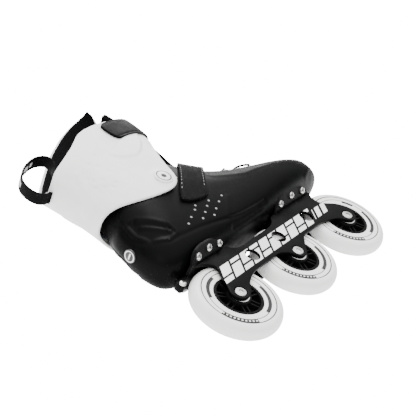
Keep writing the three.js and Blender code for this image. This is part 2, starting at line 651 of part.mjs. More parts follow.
function collarGeometry() {
  const inset = CUFF_WALL + LINER_GAP;
  const collar = upperLiner(inset, inset + 6, 20).subtract(aboveRim(COLLAR_DROP));
  return toGeometry(collar.subtract(frontBlock(COLLAR_FRONT, 60)));
}

function tongueUpperGeometry() {
  const inset = CUFF_WALL + LINER_GAP;
  const tongue = upperLiner(inset, inset + 7, 20).subtract(aboveRim(0));
  return toGeometry(tongue.intersect(frontBlock(COLLAR_FRONT + GAP, 60)));
}

// ---- Straps ----
// Webbing that lies on a curved skin: skin(u, v) gives the point and outward normal under the strap's
// length share u and width share v; gap is how far it stands off there.
function strapOn(skin, lengths, widths, gap, thickness) {
  const rings = lengths.map((u) => {
    const places = widths.map((v) => ({ ...skin(u, v), stand: gap(u) }));
    const low = places.map(({ point, normal, stand }) => point.clone().addScaledVector(normal, stand));
    const high = places.map(({ point, normal, stand }) => point.clone().addScaledVector(normal, stand + thickness));
    return [...low, ...high.reverse()];
  });
  return toGeometry(toSolid(loft(rings)));
}

// The cuff strap runs level round the front of the cuff; u is the angle from the toe in degrees,
// towards the left, and its ends are lower than its front.
function cuffStrapSkin(u, v) {
  const angle = degrees(u);
  const height = CUFF_STRAP_Z + 5 * Math.cos(angle) + (v * CUFF_STRAP_WIDTH) / 2;
  const point = cuffPoint(height, angle);
  const along = cuffPoint(height, angle + 0.03).sub(cuffPoint(height, angle - 0.03));
  return { point, normal: new THREE.Vector3(along.y, -along.x, 0).normalize() };
}

// The instep strap crosses the tongue and runs back down both sides; u is -1 and 1 at its ends.
function instepStrapSkin(u, v) {
  const reach = Math.abs(u);
  const station = 8 + 1.9 * reach + v * lerp(0.9, 0.85, reach);
  const angle = Math.PI * (1 - 0.53 * reach) * (u < 0 ? -1 : 1);
  const point = bootPoint(station, angle);
  const alongSkin = bootPoint(station + 0.02, angle).sub(bootPoint(station - 0.02, angle));
  const aroundSkin = bootPoint(station, angle + 0.03).sub(bootPoint(station, angle - 0.03));
  return { point, normal: aroundSkin.cross(alongSkin).normalize() };
}

const INSTEP_LIFT = (u) => lerp(4.2, 1.2, Math.min(1, Math.abs(u) * 1.3));
const CUFF_LIFT = () => 0.8;

// ---- Pull loop ----
// A bow of webbing over the back of the upper edge, seen from the side as [x, z]: one end is sewn
// to the cuff's back, the other inside the collar.
const PULL_LOOP = [[-170.1, 290], [-172, 296], [-181, 297.5], [-187, 304], [-188, 316], [-182, 330], [-168, 341.5],
  [-150, 348], [-134, 349], [-124, 343], [-126, 333], [-138, 319], [-150, 307], [-156.8, 299], [-155.8, 290]];
const PULL_HALF = 8;

function pullLoopGeometry() {
  const rings = PULL_LOOP.map(([x, z], index) => {
    const [x0, z0] = PULL_LOOP[Math.max(index - 1, 0)];
    const [x1, z1] = PULL_LOOP[Math.min(index + 1, PULL_LOOP.length - 1)];
    const outward = new THREE.Vector3(z0 - z1, 0, x1 - x0).normalize().multiplyScalar(1.6);
    const low = new THREE.Vector3(x, -PULL_HALF, z);
    const high = new THREE.Vector3(x, PULL_HALF, z);
    return [low, high, high.clone().add(outward), low.clone().add(outward)];
  });
  return toGeometry(toSolid(loft(rings)));
}

// ---- Assembly ----
for (const [position, axleX] of Object.entries(AXLES)) addWheel(position, axleX);
add('frame', frameGeometry(), 'frame');
for (const screw of plateScrews()) add(screw.name, screwGeometry(screw), 'steel');
add('heel_bolt', heelBoltGeometry(), 'steel');
add('boot_shell', shellGeometry(), 'shell');
add('liner_foot', linerFootGeometry(), 'liner');
add('footbed', footbedGeometry(), 'liner');
add('tongue_lower', tongueLowerGeometry(), 'liner');
EYELET_ROWS.forEach((station, row) => {
  add(`eyelet_right_${row + 1}`, eyeletGeometry(station, 1), 'steel');
  add(`eyelet_left_${row + 1}`, eyeletGeometry(station, -1), 'steel');
});
add('lace', laceGeometry(), 'webbing');
add('cuff', cuffGeometry(), 'cuff');
add('cuff_pivot_right', pivotGeometry(-1), 'cuff');
add('cuff_pivot_left', pivotGeometry(1), 'cuff');
add('liner_collar', collarGeometry(), 'liner');
add('tongue_upper', tongueUpperGeometry(), 'liner');
const STRAP_SPLIT = { cuff: -38, instep: 0.42 };   // where the fixed part ends and the loose flap begins
add('cuff_strap', strapOn(cuffStrapSkin, [STRAP_SPLIT.cuff + 0.3, -28, -14, 0, 14, 28, 40, 54, 70, 88],
  [-1, 0, 1], CUFF_LIFT, STRAP_THICKNESS), 'webbing');
add('cuff_strap_flap', strapOn(cuffStrapSkin, [-85, -74, -62, -50, STRAP_SPLIT.cuff - 0.3],
  [-1, 0, 1], CUFF_LIFT, STRAP_THICKNESS), 'webbing');
add('instep_strap', strapOn(instepStrapSkin, [-1, -0.8, -0.6, -0.45, -0.3, -0.15, 0, 0.15, 0.3, STRAP_SPLIT.instep - 0.003],
  [-1, -0.5, 0, 0.5, 1], INSTEP_LIFT, STRAP_THICKNESS), 'webbing');
add('instep_strap_flap', strapOn(instepStrapSkin, [STRAP_SPLIT.instep + 0.003, 0.6, 0.8, 1],
  [-1, -0.5, 0, 0.5, 1], INSTEP_LIFT, STRAP_THICKNESS), 'webbing');
add('pull_loop', pullLoopGeometry(), 'webbing');

// ---- Laid on its left side, with the middle of its footprint at the origin ----
const lying = new THREE.Group();
lying.rotation.set(degrees(LIE.roll), degrees(LIE.pitch), degrees(LIE.yaw));
lying.add(skate);
lying.updateMatrixWorld(true);
const box = new THREE.Box3().setFromObject(lying, true);
lying.position.set(-(box.min.x + box.max.x) / 2, -(box.min.y + box.max.y) / 2, -box.min.z);

const root = new THREE.Group();
root.add(lying);
export default root;
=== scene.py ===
import json
import math

import bmesh
import bpy
from mathutils import Matrix, Vector


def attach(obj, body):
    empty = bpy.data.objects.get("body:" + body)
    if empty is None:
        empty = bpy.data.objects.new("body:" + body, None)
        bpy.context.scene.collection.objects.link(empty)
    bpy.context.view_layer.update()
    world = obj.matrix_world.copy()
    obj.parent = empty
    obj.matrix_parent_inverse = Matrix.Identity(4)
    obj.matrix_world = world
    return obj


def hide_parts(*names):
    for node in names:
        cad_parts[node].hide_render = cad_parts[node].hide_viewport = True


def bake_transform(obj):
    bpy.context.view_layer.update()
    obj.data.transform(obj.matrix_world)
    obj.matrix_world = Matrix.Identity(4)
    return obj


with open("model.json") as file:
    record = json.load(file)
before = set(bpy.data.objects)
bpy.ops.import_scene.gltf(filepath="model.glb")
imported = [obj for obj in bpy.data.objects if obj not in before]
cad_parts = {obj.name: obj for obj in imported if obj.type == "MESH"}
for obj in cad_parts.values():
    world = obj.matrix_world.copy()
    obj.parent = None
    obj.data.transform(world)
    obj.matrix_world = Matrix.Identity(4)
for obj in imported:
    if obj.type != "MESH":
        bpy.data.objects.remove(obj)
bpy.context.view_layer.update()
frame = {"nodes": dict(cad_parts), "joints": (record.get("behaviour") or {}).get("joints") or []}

# ---- How the skate lies ----
# Every piece is drawn as the skate is worn, in millimetres: X to the toe, Y to the skater's left, Z up
# from the ground under the middle axle. The skate itself lies on its left side, so each finished mesh
# is laid over by the same turns as the solids, about the middle wheel's axle.
LIE_ROLL, LIE_PITCH, LIE_YAW = -78.46, -0.64, -3.15
WHEEL_RADIUS = 55.0
axle_places = {j["name"]: Vector(j["pos_m"]) for j in frame["joints"]}
turn = (Matrix.Rotation(math.radians(LIE_ROLL), 4, "X") @ Matrix.Rotation(math.radians(LIE_PITCH), 4, "Y")
        @ Matrix.Rotation(math.radians(LIE_YAW), 4, "Z"))
shift = axle_places["wheel_middle_spin"] - turn @ Vector((0, 0, WHEEL_RADIUS / 1000))
LAY = Matrix.Translation(shift) @ turn @ Matrix.Scale(0.001, 4)


def finish_piece(name, bm, body, material, stands_for=(), sharp=40, hub=None):
    """Lays a mesh drawn as worn, keeps those first coordinates on it, and hangs it on its body."""
    bm.normal_update()
    mesh = bpy.data.meshes.new(name)
    bm.to_mesh(mesh)
    bm.free()
    worn = mesh.attributes.new("worn", "FLOAT_VECTOR", "POINT")
    centre = Vector(hub) if hub else Vector((0, 0, 0))
    worn.data.foreach_set("vector", [c for v in mesh.vertices for c in (v.co - centre)])
    mesh.transform(LAY)
    mesh.polygons.foreach_set("use_smooth", [True] * len(mesh.polygons))
    mesh.set_sharp_from_angle(angle=math.radians(sharp))
    mesh.materials.append(material)
    piece = bpy.data.objects.new(name, mesh)
    bpy.context.collection.objects.link(piece)
    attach(piece, body)
    if stands_for:
        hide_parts(*stands_for)
    return piece


# ---- Camera, floor and light ----
# A long lens looks down on the lying skate from beside and behind its heel. The floor is a plain white
# sweep lit from behind, and large soft lights above and at the sides keep its shadow faint.
CAMERA_PLACE = (-1079.2, -741.3, -269.4)
CAMERA_RIGHT = (0.54332428, -0.31321705, -0.77890552)
CAMERA_DOWN = (-0.31792931, 0.78192565, -0.5362026)
CAMERA_AHEAD = (0.776994, 0.53896878, 0.32525831)
LENS, SENSOR = 97.8, 36.0
WALLS, CANOPY = 0.35, 3.2                # a white canopy overhead and dim walls
FLOOR_FILL, FLOOR_GLOW = 0.9, 16.0      # what the lit sweep gives the skate, and how bright it looks

camera_data = bpy.data.cameras.new("camera")
camera_data.lens, camera_data.sensor_width = LENS, SENSOR
camera_data.clip_end = 50
camera = bpy.data.objects.new("camera", camera_data)
bpy.context.collection.objects.link(camera)
axes = Matrix((CAMERA_RIGHT, [-v for v in CAMERA_DOWN], [-v for v in CAMERA_AHEAD])).transposed().to_4x4()
camera.matrix_world = Matrix.Translation(LAY @ Vector(CAMERA_PLACE)) @ turn.to_3x3().to_4x4() @ axes
bpy.context.scene.camera = camera

floor_bm = bmesh.new()
bmesh.ops.create_grid(floor_bm, x_segments=1, y_segments=1, size=8)
floor_mesh = bpy.data.meshes.new("floor")
floor_bm.to_mesh(floor_mesh)
floor_bm.free()
floor = bpy.data.objects.new("floor", floor_mesh)
bpy.context.collection.objects.link(floor)
floor_paper = bpy.data.materials.new("white_sweep")
floor_paper.use_nodes = True
paper = floor_paper.node_tree.nodes["Principled BSDF"]
paper.inputs["Base Color"].default_value = (0.9, 0.9, 0.9, 1)
paper.inputs["Roughness"].default_value = 0.95
paper.inputs["Emission Color"].default_value = (1, 1, 1, 1)
sweep = floor_paper.node_tree
seen = sweep.nodes.new("ShaderNodeLightPath").outputs["Is Camera Ray"]
glow = sweep.nodes.new("ShaderNodeMapRange")
glow.inputs["To Min"].default_value, glow.inputs["To Max"].default_value = FLOOR_FILL, FLOOR_GLOW
sweep.links.new(seen, glow.inputs["Value"])
sweep.links.new(glow.outputs[0], paper.inputs["Emission Strength"])
floor_mesh.materials.append(floor_paper)

world = bpy.data.worlds.new("studio")
world.use_nodes = True
sky = world.node_tree
sky.nodes["Background"].inputs["Color"].default_value = (1, 1, 1, 1)
direction = sky.nodes.new("ShaderNodeTexCoord")
height = sky.nodes.new("ShaderNodeSeparateXYZ")
sky.links.new(direction.outputs["Generated"], height.inputs[0])
canopy = sky.nodes.new("ShaderNodeMapRange")
sky.links.new(height.outputs["Z"], canopy.inputs["Value"])
canopy.inputs["From Min"].default_value, canopy.inputs["From Max"].default_value = 0.35, 0.8
canopy.inputs["To Min"].default_value, canopy.inputs["To Max"].default_value = WALLS, CANOPY
sky.links.new(canopy.outputs[0], sky.nodes["Background"].inputs["Strength"])
bpy.context.scene.world = world
LIGHTS = {                      # place in metres, size in metres, power in watts
    "over": ((0.5, 0.7, 1.7), 0.9, 26),
    "heel_side": ((-1.7, -0.3, 0.7), 0.6, 7),
    "toe_side": ((1.3, 0.9, 0.7), 0.6, 10),
}
for light_name, (place, size, power) in LIGHTS.items():
    lamp = bpy.data.lights.new(light_name, "AREA")
    lamp.energy, lamp.size = power, size
    light = bpy.data.objects.new(light_name, lamp)
    bpy.context.collection.objects.link(light)
    light.location = place
    light.rotation_euler = (Vector((0, 0, 0.05)) - Vector(place)).to_track_quat("-Z", "Y").to_euler()


# ---- Wheels ----
# Each wheel is off-white polyurethane cast round a black nylon core. The tyre's flat side carries a
# printed ring of black lines and blocks, and its tread is a smooth bullet curve, faintly satin.
WHEEL_PITCH = 130.0
AXLES = {"rear": -WHEEL_PITCH, "middle": 0.0, "front": WHEEL_PITCH}


def start_material(name, colour, roughness, metallic=0.0):
    material = bpy.data.materials.new(name)
    material.use_nodes = True
    tree = material.node_tree
    shader = tree.nodes["Principled BSDF"]
    shader.inputs["Base Color"].default_value = (*colour, 1)
    shader.inputs["Roughness"].default_value = roughness
    shader.inputs["Metallic"].default_value = metallic
    return material, tree, shader


def link(tree, kind, inputs=(), **settings):
    """A node with its settings; each input is a value or another node's output socket."""
    node = tree.nodes.new(kind)
    for key, value in settings.items():
        setattr(node, key, value)
    for key, value in dict(inputs).items():
        if isinstance(value, bpy.types.NodeSocket):
            tree.links.new(value, node.inputs[key])
        else:
            node.inputs[key].default_value = value
    return node


def math_node(tree, operation, a, b=0.0):
    return link(tree, "ShaderNodeMath", {0: a, 1: b}, operation=operation).outputs[0]


def within(tree, value, low, high, soft):
    """1 where value lies between low and high, with an edge of width soft."""
    rise = link(tree, "ShaderNodeMapRange", {"Value": value, "From Min": low - soft,
                                             "From Max": low + soft})
    fall = link(tree, "ShaderNodeMapRange", {"Value": value, "From Min": high - soft,
                                             "From Max": high + soft, "To Min": 1.0, "To Max": 0.0})
    return math_node(tree, "MULTIPLY", rise.outputs[0], fall.outputs[0])


def worn_place(tree):
    """X, Y and Z of the coordinates kept by finish_piece, as sockets."""
    spot = link(tree, "ShaderNodeAttribute", attribute_name="worn").outputs["Vector"]
    return link(tree, "ShaderNodeSeparateXYZ", {0: spot}).outputs


def off_centre(tree, a, b):
    """Distance from the centre of two coordinates."""
    squares = [math_node(tree, "MULTIPLY", value, value) for value in (a, b)]
    return math_node(tree, "SQRT", math_node(tree, "ADD", *squares))


def mix_colour(tree, share, first, second):
    node = link(tree, "ShaderNodeMix", data_type="RGBA")
    for socket, value in ((node.inputs[0], share), (node.inputs[6], first), (node.inputs[7], second)):
        if isinstance(value, bpy.types.NodeSocket):
            tree.links.new(value, socket)
        elif isinstance(value, (int, float)):
            socket.default_value = value
        else:
            socket.default_value = (*value, 1)
    return node.outputs[2]


COLOUR_DRIFT = 0.12             # share by which a moulding's colour drifts either way


def add_grain(tree, shader, roughness, spread, grain, depth, mottle=90.0, colour=None):
    """Fine surface grain as bump, with slow drifts in gloss and in colour; sizes are per metre."""
    place = link(tree, "ShaderNodeTexCoord").outputs["Object"]
    drift = link(tree, "ShaderNodeTexNoise", {"Vector": place, "Scale": mottle, "Detail": 4.0}).outputs["Fac"]
    gloss = link(tree, "ShaderNodeMapRange", {"Value": drift, "From Min": 0.3, "From Max": 0.7,
                                              "To Min": roughness - spread,
                                              "To Max": roughness + spread})
    tree.links.new(gloss.outputs[0], shader.inputs["Roughness"])
    if colour:
        darker = tuple(c * (1 - COLOUR_DRIFT) for c in colour)
        lighter = tuple(min(1, c * (1 + COLOUR_DRIFT)) for c in colour)
        shade = mix_colour(tree, drift, darker, lighter)
        tree.links.new(shade, shader.inputs["Base Color"])
    speck = link(tree, "ShaderNodeTexNoise", {"Vector": place, "Scale": grain, "Detail": 3.0}).outputs["Fac"]
    bump = link(tree, "ShaderNodeBump", {"Height": speck, "Strength": 0.35, "Distance": depth})
    tree.links.new(bump.outputs[0], shader.inputs["Normal"])


URETHANE = (0.92, 0.92, 0.905)
PRINT_BLACK = (0.002, 0.002, 0.002)
PRINT_WHITE = (0.93, 0.93, 0.92)

urethane, tree, shader = start_material("urethane", URETHANE, 0.3)
add_grain(tree, shader, 0.3, 0.06, 900, 0.00005, mottle=40)
shader.inputs["Specular IOR Level"].default_value = 0.4
x, y, z = worn_place(tree)
radius = off_centre(tree, x, z)
angle = math_node(tree, "ARCTAN2", z, x)
PRINTS = [  # inner radius, outer radius, from and to in degrees round the wheel
    (43.2, 44.6, -181, 181), (37.4, 38.4, -181, 181), (34.0, 38.2, 93, 151), (34.0, 38.2, -82, -9),
    (34.0, 38.2, 14, 38), (37.6, 44.2, -174, -113),
]
PRINT_EDGE = 0.12               # softness of a printed edge, in millimetres
DASHES_ROUND = 58.0             # dashes in a full turn
ink = 0.0
for inner, outer, start, end in PRINTS:
    ring = within(tree, radius, inner, outer, PRINT_EDGE)
    if end - start < 360:
        arc = within(tree, angle, math.radians(start), math.radians(end), 0.005)
        ring = math_node(tree, "MULTIPLY", ring, arc)
    ink = math_node(tree, "MAXIMUM", ring, ink) if ink else ring
# plain dashes knocked out of the wide block
comb = math_node(tree, "SINE", math_node(tree, "MULTIPLY", angle, DASHES_ROUND))
dashes = math_node(tree, "MULTIPLY", within(tree, radius, 39.4, 41.4, 0.15),
                   within(tree, comb, 0.1, 2.0, 0.15))
ink = math_node(tree, "MULTIPLY", ink, math_node(tree, "SUBTRACT", 1.0, dashes))
tree.links.new(mix_colour(tree, ink, URETHANE, PRINT_BLACK), shader.inputs["Base Color"])

nylon, tree, shader = start_material("black_nylon", (0.003, 0.003, 0.0032), 0.42)
add_grain(tree, shader, 0.42, 0.08, 1500, 0.00008, colour=(0.003, 0.003, 0.0032))
shader.inputs["Specular IOR Level"].default_value = 0.05


def spun(profile, steps, centre=(0, 0, 0)):
    """A bmesh turned about the Y axis through centre from (radius, y) points."""
    bm = bmesh.new()
    cx, cy, cz = centre
    points = [bm.verts.new((cx + r, cy + y, cz)) for r, y in profile]
    edges = [bm.edges.new(pair) for pair in zip(points, points[1:] + points[:1])]
    bmesh.ops.spin(bm, geom=points + edges, cent=centre, axis=(0, 1, 0), angle=2 * math.pi, steps=steps,
                   use_merge=True)
    bmesh.ops.remove_doubles(bm, verts=bm.verts, dist=0.001)
    bmesh.ops.recalc_face_normals(bm, faces=bm.faces)
    return bm


def tread_profile():
    """The tyre's section as (radius, y): two flat sides and a bullet-shaped crown."""
    flat, shoulder, half = 10.3, 43.0, 11.4
    side = [(29.75, -9.6), (30.2, -10.1), (33, -flat), (shoulder, -flat - 0.25), (44.1, -flat - 0.2)]
    crown = []
    for step in range(0, 25):
        around = math.radians(-78 + step * 6.5)
        crown.append((shoulder + (WHEEL_RADIUS - shoulder) * math.cos(around) ** 0.8, half * math.sin(around)))
    return side + crown + [(r, -y) for r, y in reversed(side)]


def box_into(bm, low, high, place=Matrix.Identity(4)):
    """Adds a block between two corners to bm, moved by place."""
    size = [h - l for l, h in zip(low, high)]
    middle = [(l + h) / 2 for l, h in zip(low, high)]
    block = place @ Matrix.Translation(middle) @ Matrix.Diagonal((*size, 1))
    bmesh.ops.create_cube(bm, size=1, matrix=block)


def soften(bm, width, segments=2, angle=35):
    """Rounds every edge that turns by more than angle degrees."""
    edges = [e for e in bm.edges if len(e.link_faces) == 2 and e.calc_face_angle(0) > math.radians(angle)]
    bmesh.ops.bevel(bm, geom=edges, offset=width, offset_type="OFFSET", segments=segments, profile=0.5,
                    affect="EDGES", material=-1, clamp_overlap=True)


def join_into(target, other):
    """Moves the mesh of one bmesh into another."""
    carried = bpy.data.meshes.new("carried")
    other.to_mesh(carried)
    other.free()
    target.from_mesh(carried)
    bpy.data.meshes.remove(carried)


SPOKES = 7
RIB_OFFSET, RIB_HALF = 2.9, 0.9        # each spoke is a pair of thin ribs beside its middle line
for position, axle_x in AXLES.items():
    hub_place = (axle_x, 0, WHEEL_RADIUS)
    tyre = spun(tread_profile(), 128, hub_place)
    finish_piece(f"wheel_tyre_{position}", tyre, f"wheel_{position}", urethane,
                 [f"tyre_{position}"], sharp=30, hub=hub_place)
    core = spun([(26.2, -9.9), (29.3, -9.9), (29.6, -9.4), (29.6, 9.4), (29.3, 9.9), (26.2, 9.9),
                 (25.7, 9.3), (25.7, 2.2), (14.6, 2.6), (14.6, 10.9), (14.0, 11.7), (11.4, 11.9),
                 (11.3, 5.0), (9.2, 4.7), (9.2, -4.7), (11.3, -5.0), (11.4, -11.9), (14.0, -11.7),
                 (14.6, -10.9), (14.6, -2.6), (25.7, -2.2), (25.7, -9.3)], 84, hub_place)
    for index in range(SPOKES):
        swing = Matrix.Rotation(2 * math.pi * (index + 0.35) / SPOKES, 4, "Y")
        for across in (-RIB_OFFSET, RIB_OFFSET):
            rib = bmesh.new()
            box_into(rib, (14.2, -9.0, across - RIB_HALF), (26.0, 9.0, across + RIB_HALF),
                     Matrix.Translation(hub_place) @ swing)
            soften(rib, 0.4)
            join_into(core, rib)
    finish_piece(f"spoked_core_{position}", core, f"wheel_{position}", nylon,
                 [f"wheel_core_{position}"], hub=hub_place)

# ---- Bearings, axles and small hardware ----
# Two 608 bearings sit in each core on an aluminium spacer. The bright steel axle is a one-sided bolt
# whose flat head sinks into the right rail and is turned by a hexagon key.
bright, tree, shader = start_material("bright_steel", (0.62, 0.62, 0.61), 0.24, 1.0)
place = link(tree, "ShaderNodeTexCoord").outputs["Object"]
scuffs = link(tree, "ShaderNodeTexNoise", {"Vector": place, "Scale": 700.0, "Detail": 5.0}).outputs["Fac"]
shine = link(tree, "ShaderNodeMapRange", {"Value": scuffs, "To Min": 0.14, "To Max": 0.36})
tree.links.new(shine.outputs[0], shader.inputs["Roughness"])
bump = link(tree, "ShaderNodeBump", {"Height": scuffs, "Strength": 0.2, "Distance": 0.00005})
tree.links.new(bump.outputs[0], shader.inputs["Normal"])

RAIL_INNER, RAIL_OUTER = 13.0, 17.0


def keyed_head(radius, depth, socket, stem, length, crown=0.5):
    """A screw along Y: a crowned head at y < 0 with a hexagon socket, and its stem towards +Y."""
    bm = spun([(socket, -depth - crown * 0.8), (radius * 0.62, -depth - crown * 0.5),
               (radius - 0.7, -depth), (radius, -depth + 0.7), (radius, 0), (stem, 0), (stem, length),
               (0.4, length), (0.4, 1), (socket, 0.2 - depth / 3)], 48)
    pit = bmesh.new()
    bmesh.ops.create_cone(pit, cap_ends=True, segments=6, radius1=socket + 0.12,
                          radius2=socket + 0.12, depth=depth)
    bmesh.ops.transform(pit, verts=pit.verts, matrix=Matrix.Translation((0, 0.35 - depth / 2, 0))
                        @ Matrix.Rotation(math.pi / 2, 4, "X"))
    outer = [f for f in pit.faces if f.normal.y < -0.9]
    bmesh.ops.delete(pit, geom=outer, context="FACES")
    bmesh.ops.reverse_faces(pit, faces=pit.faces)
    join_into(bm, pit)
    return bm


def dress(node, material):
    """Gives a solid of the model a new material in place of its own."""
    slots = frame["nodes"][node].data.materials
    slots.clear()
    slots.append(material)


RIM_INNER, RIM_OUTER = 8.6, 12.0       # the bright shield that shows round each bearing
for position, axle_x in AXLES.items():
    bolt = keyed_head(7.0, 2.0, 2.9, 4.0, 31.5, crown=0.3)
    bmesh.ops.translate(bolt, verts=bolt.verts, vec=(axle_x, -RAIL_OUTER + 2.2, WHEEL_RADIUS))
    finish_piece(f"axle_bolt_{position}", bolt, "boot_and_frame", bright, [f"axle_{position}"])
    rims = bmesh.new()
    for side in (-1, 1):
        join_into(rims, spun([(RIM_INNER, side * 12.35), (RIM_OUTER - 0.4, side * 12.35),
                              (RIM_OUTER, side * 12.1), (RIM_OUTER, side * 11.6),
                              (RIM_INNER, side * 11.6)], 64, (axle_x, 0, WHEEL_RADIUS)))
    finish_piece(f"bearing_rims_{position}", rims, f"wheel_{position}", bright)
    for part in ("outer_race", "inner_race"):
        for hand in ("right", "left"):
            dress(f"{part}_{position}_{hand}", bright)
    dress(f"bearing_spacer_{position}", bright)

# ---- Frame ----
# The frame is two rails and two winged sole plates in satin black anodised aluminium. A row of plain
# slanted white blocks is printed along the outside of each rail, over the three lightening holes.
PLATE_Z, PLATE_THICKNESS = 112.0, 3.0
PLATE_HALF, PLATE_FLAT_HALF, PLATE_RISE = 33.0, 19.0, 9.0
REAR_PLATE, FRONT_PLATE = (-150.0, -84.0), (34.0, 120.0)
RAIL_OUTLINE = [
    (-146, 113), (-136, 110), (-126, 105), (-120, 96), (-128, 82), (-135, 71), (-142, 62), (-143, 55),
    (-140, 48), (-133, 44.5), (-125, 45), (-117, 49), (-109, 56), (-99, 61), (-90, 64), (-77, 66),
    (-53, 66), (-29, 66), (-21, 63), (-14, 58), (-10, 50), (-4, 45), (4, 45), (10, 48), (16, 54),
    (24, 60), (31, 65), (38, 67), (60, 67), (80, 67), (94, 64), (109, 59), (117, 52), (124, 45.5),
    (133, 44.5), (140, 49), (144, 57), (142, 67), (136, 77), (119, 89), (115, 97), (117, 106),
    (119, 113), (75, 113), (30, 113), (18, 106), (5, 102), (-30, 101.5), (-60, 101), (-74, 106),
    (-82, 113), (-115, 113),
]
RAIL_HOLES = [(-61, 83.5, 9.5), (0, 84, 9.5), (72, 86, 9.5)]
ANODISED = (0.002, 0.002, 0.0022)

anodised, tree, shader = start_material("black_anodised", ANODISED, 0.4, 0.1)
shader.inputs["Specular IOR Level"].default_value = 0.05
add_grain(tree, shader, 0.38, 0.06, 2600, 0.00004, mottle=60)
x, y, z = worn_place(tree)
BLOCK_PITCH, BLOCK_SLANT, BAND_LOW, BAND_HIGH = 21.0, -0.85, 72.0, 94.0
FAR = 400.0                     # added before a repeat, so that it never starts below nought
INK_EDGE = 0.3
lean = math_node(tree, "MULTIPLY", math_node(tree, "SUBTRACT", z, 84.0), BLOCK_SLANT)
along = math_node(tree, "ADD", x, lean)
beat = math_node(tree, "PINGPONG", math_node(tree, "ADD", along, FAR), BLOCK_PITCH / 2)
bars = within(tree, beat, 1.9, 40.0, 0.25)
cell = math_node(tree, "PINGPONG", math_node(tree, "ADD", along, FAR + BLOCK_PITCH / 2), BLOCK_PITCH)
low_slit = math_node(tree, "MULTIPLY", within(tree, z, 78.0, 80.6, INK_EDGE),
                     within(tree, cell, 0.0, BLOCK_PITCH / 2, 0.2))
high_slit = math_node(tree, "MULTIPLY", within(tree, z, 87.2, 89.8, INK_EDGE),
                      within(tree, cell, BLOCK_PITCH / 2, 90, 0.2))
slits = math_node(tree, "MAXIMUM", low_slit, high_slit)
blocks = math_node(tree, "MULTIPLY", bars, within(tree, z, BAND_LOW, BAND_HIGH, INK_EDGE))
blocks = math_node(tree, "MULTIPLY", blocks, within(tree, along, -131.0, 79.0, INK_EDGE))
blocks = math_node(tree, "MULTIPLY", blocks, math_node(tree, "SUBTRACT", 1.0, slits))
# three narrower bars end the row at the toe
thin = within(tree, math_node(tree, "PINGPONG", along, 7.5), 2.6, 9.0, 0.25)
thin = math_node(tree, "MULTIPLY", thin, within(tree, z, 75.0, 89.0, INK_EDGE))
thin = math_node(tree, "MULTIPLY", thin, within(tree, along, 86.0, 122.0, INK_EDGE))
blocks = math_node(tree, "MAXIMUM", blocks, thin)
side = within(tree, math_node(tree, "ABSOLUTE", y), RAIL_OUTER - 0.15, 30.0, 0.05)
on_rail = math_node(tree, "MULTIPLY", side, within(tree, z, 0.0, 111.0, 0.1))
blocks = math_node(tree, "MULTIPLY", blocks, on_rail)
tree.links.new(mix_colour(tree, blocks, ANODISED, PRINT_WHITE), shader.inputs["Base Color"])


def smooth_loop(points, steps):
    """Points of a closed curve that passes through the given ones."""
    curve = []
    count = len(points)
    for i in range(count):
        p0, p1, p2, p3 = (Vector(points[(i + k) % count]) for k in (-1, 0, 1, 2))
        for s in range(steps):
            t = s / steps
            curve.append(0.5 * ((2 * p1) + (p2 - p0) * t + (2 * p0 - 5 * p1 + 4 * p2 - p3) * t * t
                                + (3 * p1 - p0 - 3 * p2 + p3) * t ** 3))
    return curve


def side_plate(outline, holes, low, high, edge, steps=4):
    """A plate between two widths, cut to a side outline of (x, z) with round holes."""
    bm = bmesh.new()
    loops = [smooth_loop(outline, steps)]
    for hx, hz, radius in holes:
        loops.append([Vector((hx + radius * math.cos(a), hz + radius * math.sin(a)))
                      for a in [2 * math.pi * k / 48 for k in range(48)]])
    for loop in loops:
        verts = [bm.verts.new((p.x, low, p.y)) for p in loop]
        for a, b in zip(verts, verts[1:] + verts[:1]):
            bm.edges.new((a, b))
    bmesh.ops.triangle_fill(bm, use_beauty=True, use_dissolve=False, edges=bm.edges[:])
    grown = bmesh.ops.extrude_face_region(bm, geom=bm.faces[:])
    bmesh.ops.translate(bm, verts=[v for v in grown["geom"] if isinstance(v, bmesh.types.BMVert)],
                        vec=(0, high - low, 0))
    bmesh.ops.recalc_face_normals(bm, faces=bm.faces)
    soften(bm, edge, 2, 60)
    return bm


def winged_plate(x0, x1):
    """A sole plate with a leaf-shaped outline whose sides rise as wings."""
    bm = bmesh.new()
    bmesh.ops.create_grid(bm, x_segments=64, y_segments=32, size=1)
    middle, length = (x0 + x1) / 2, (x1 - x0) / 2
    for v in bm.verts:
        s = math.sin(v.co.x * math.pi / 2)
        wide = PLATE_HALF * max(0.02, 1 - abs(s) ** 2.667) ** 0.3
        y = v.co.y * wide
        rise = max(0.0, abs(y) - PLATE_FLAT_HALF) * PLATE_RISE / (PLATE_HALF - PLATE_FLAT_HALF)
        v.co = (middle + length * s, y, PLATE_Z + rise)
    grown = bmesh.ops.extrude_face_region(bm, geom=bm.faces[:])
    bmesh.ops.translate(bm, verts=[v for v in grown["geom"] if isinstance(v, bmesh.types.BMVert)],
                        vec=(0, 0, PLATE_THICKNESS))
    bmesh.ops.recalc_face_normals(bm, faces=bm.faces)
    soften(bm, 0.7, 2, 60)
    return bm


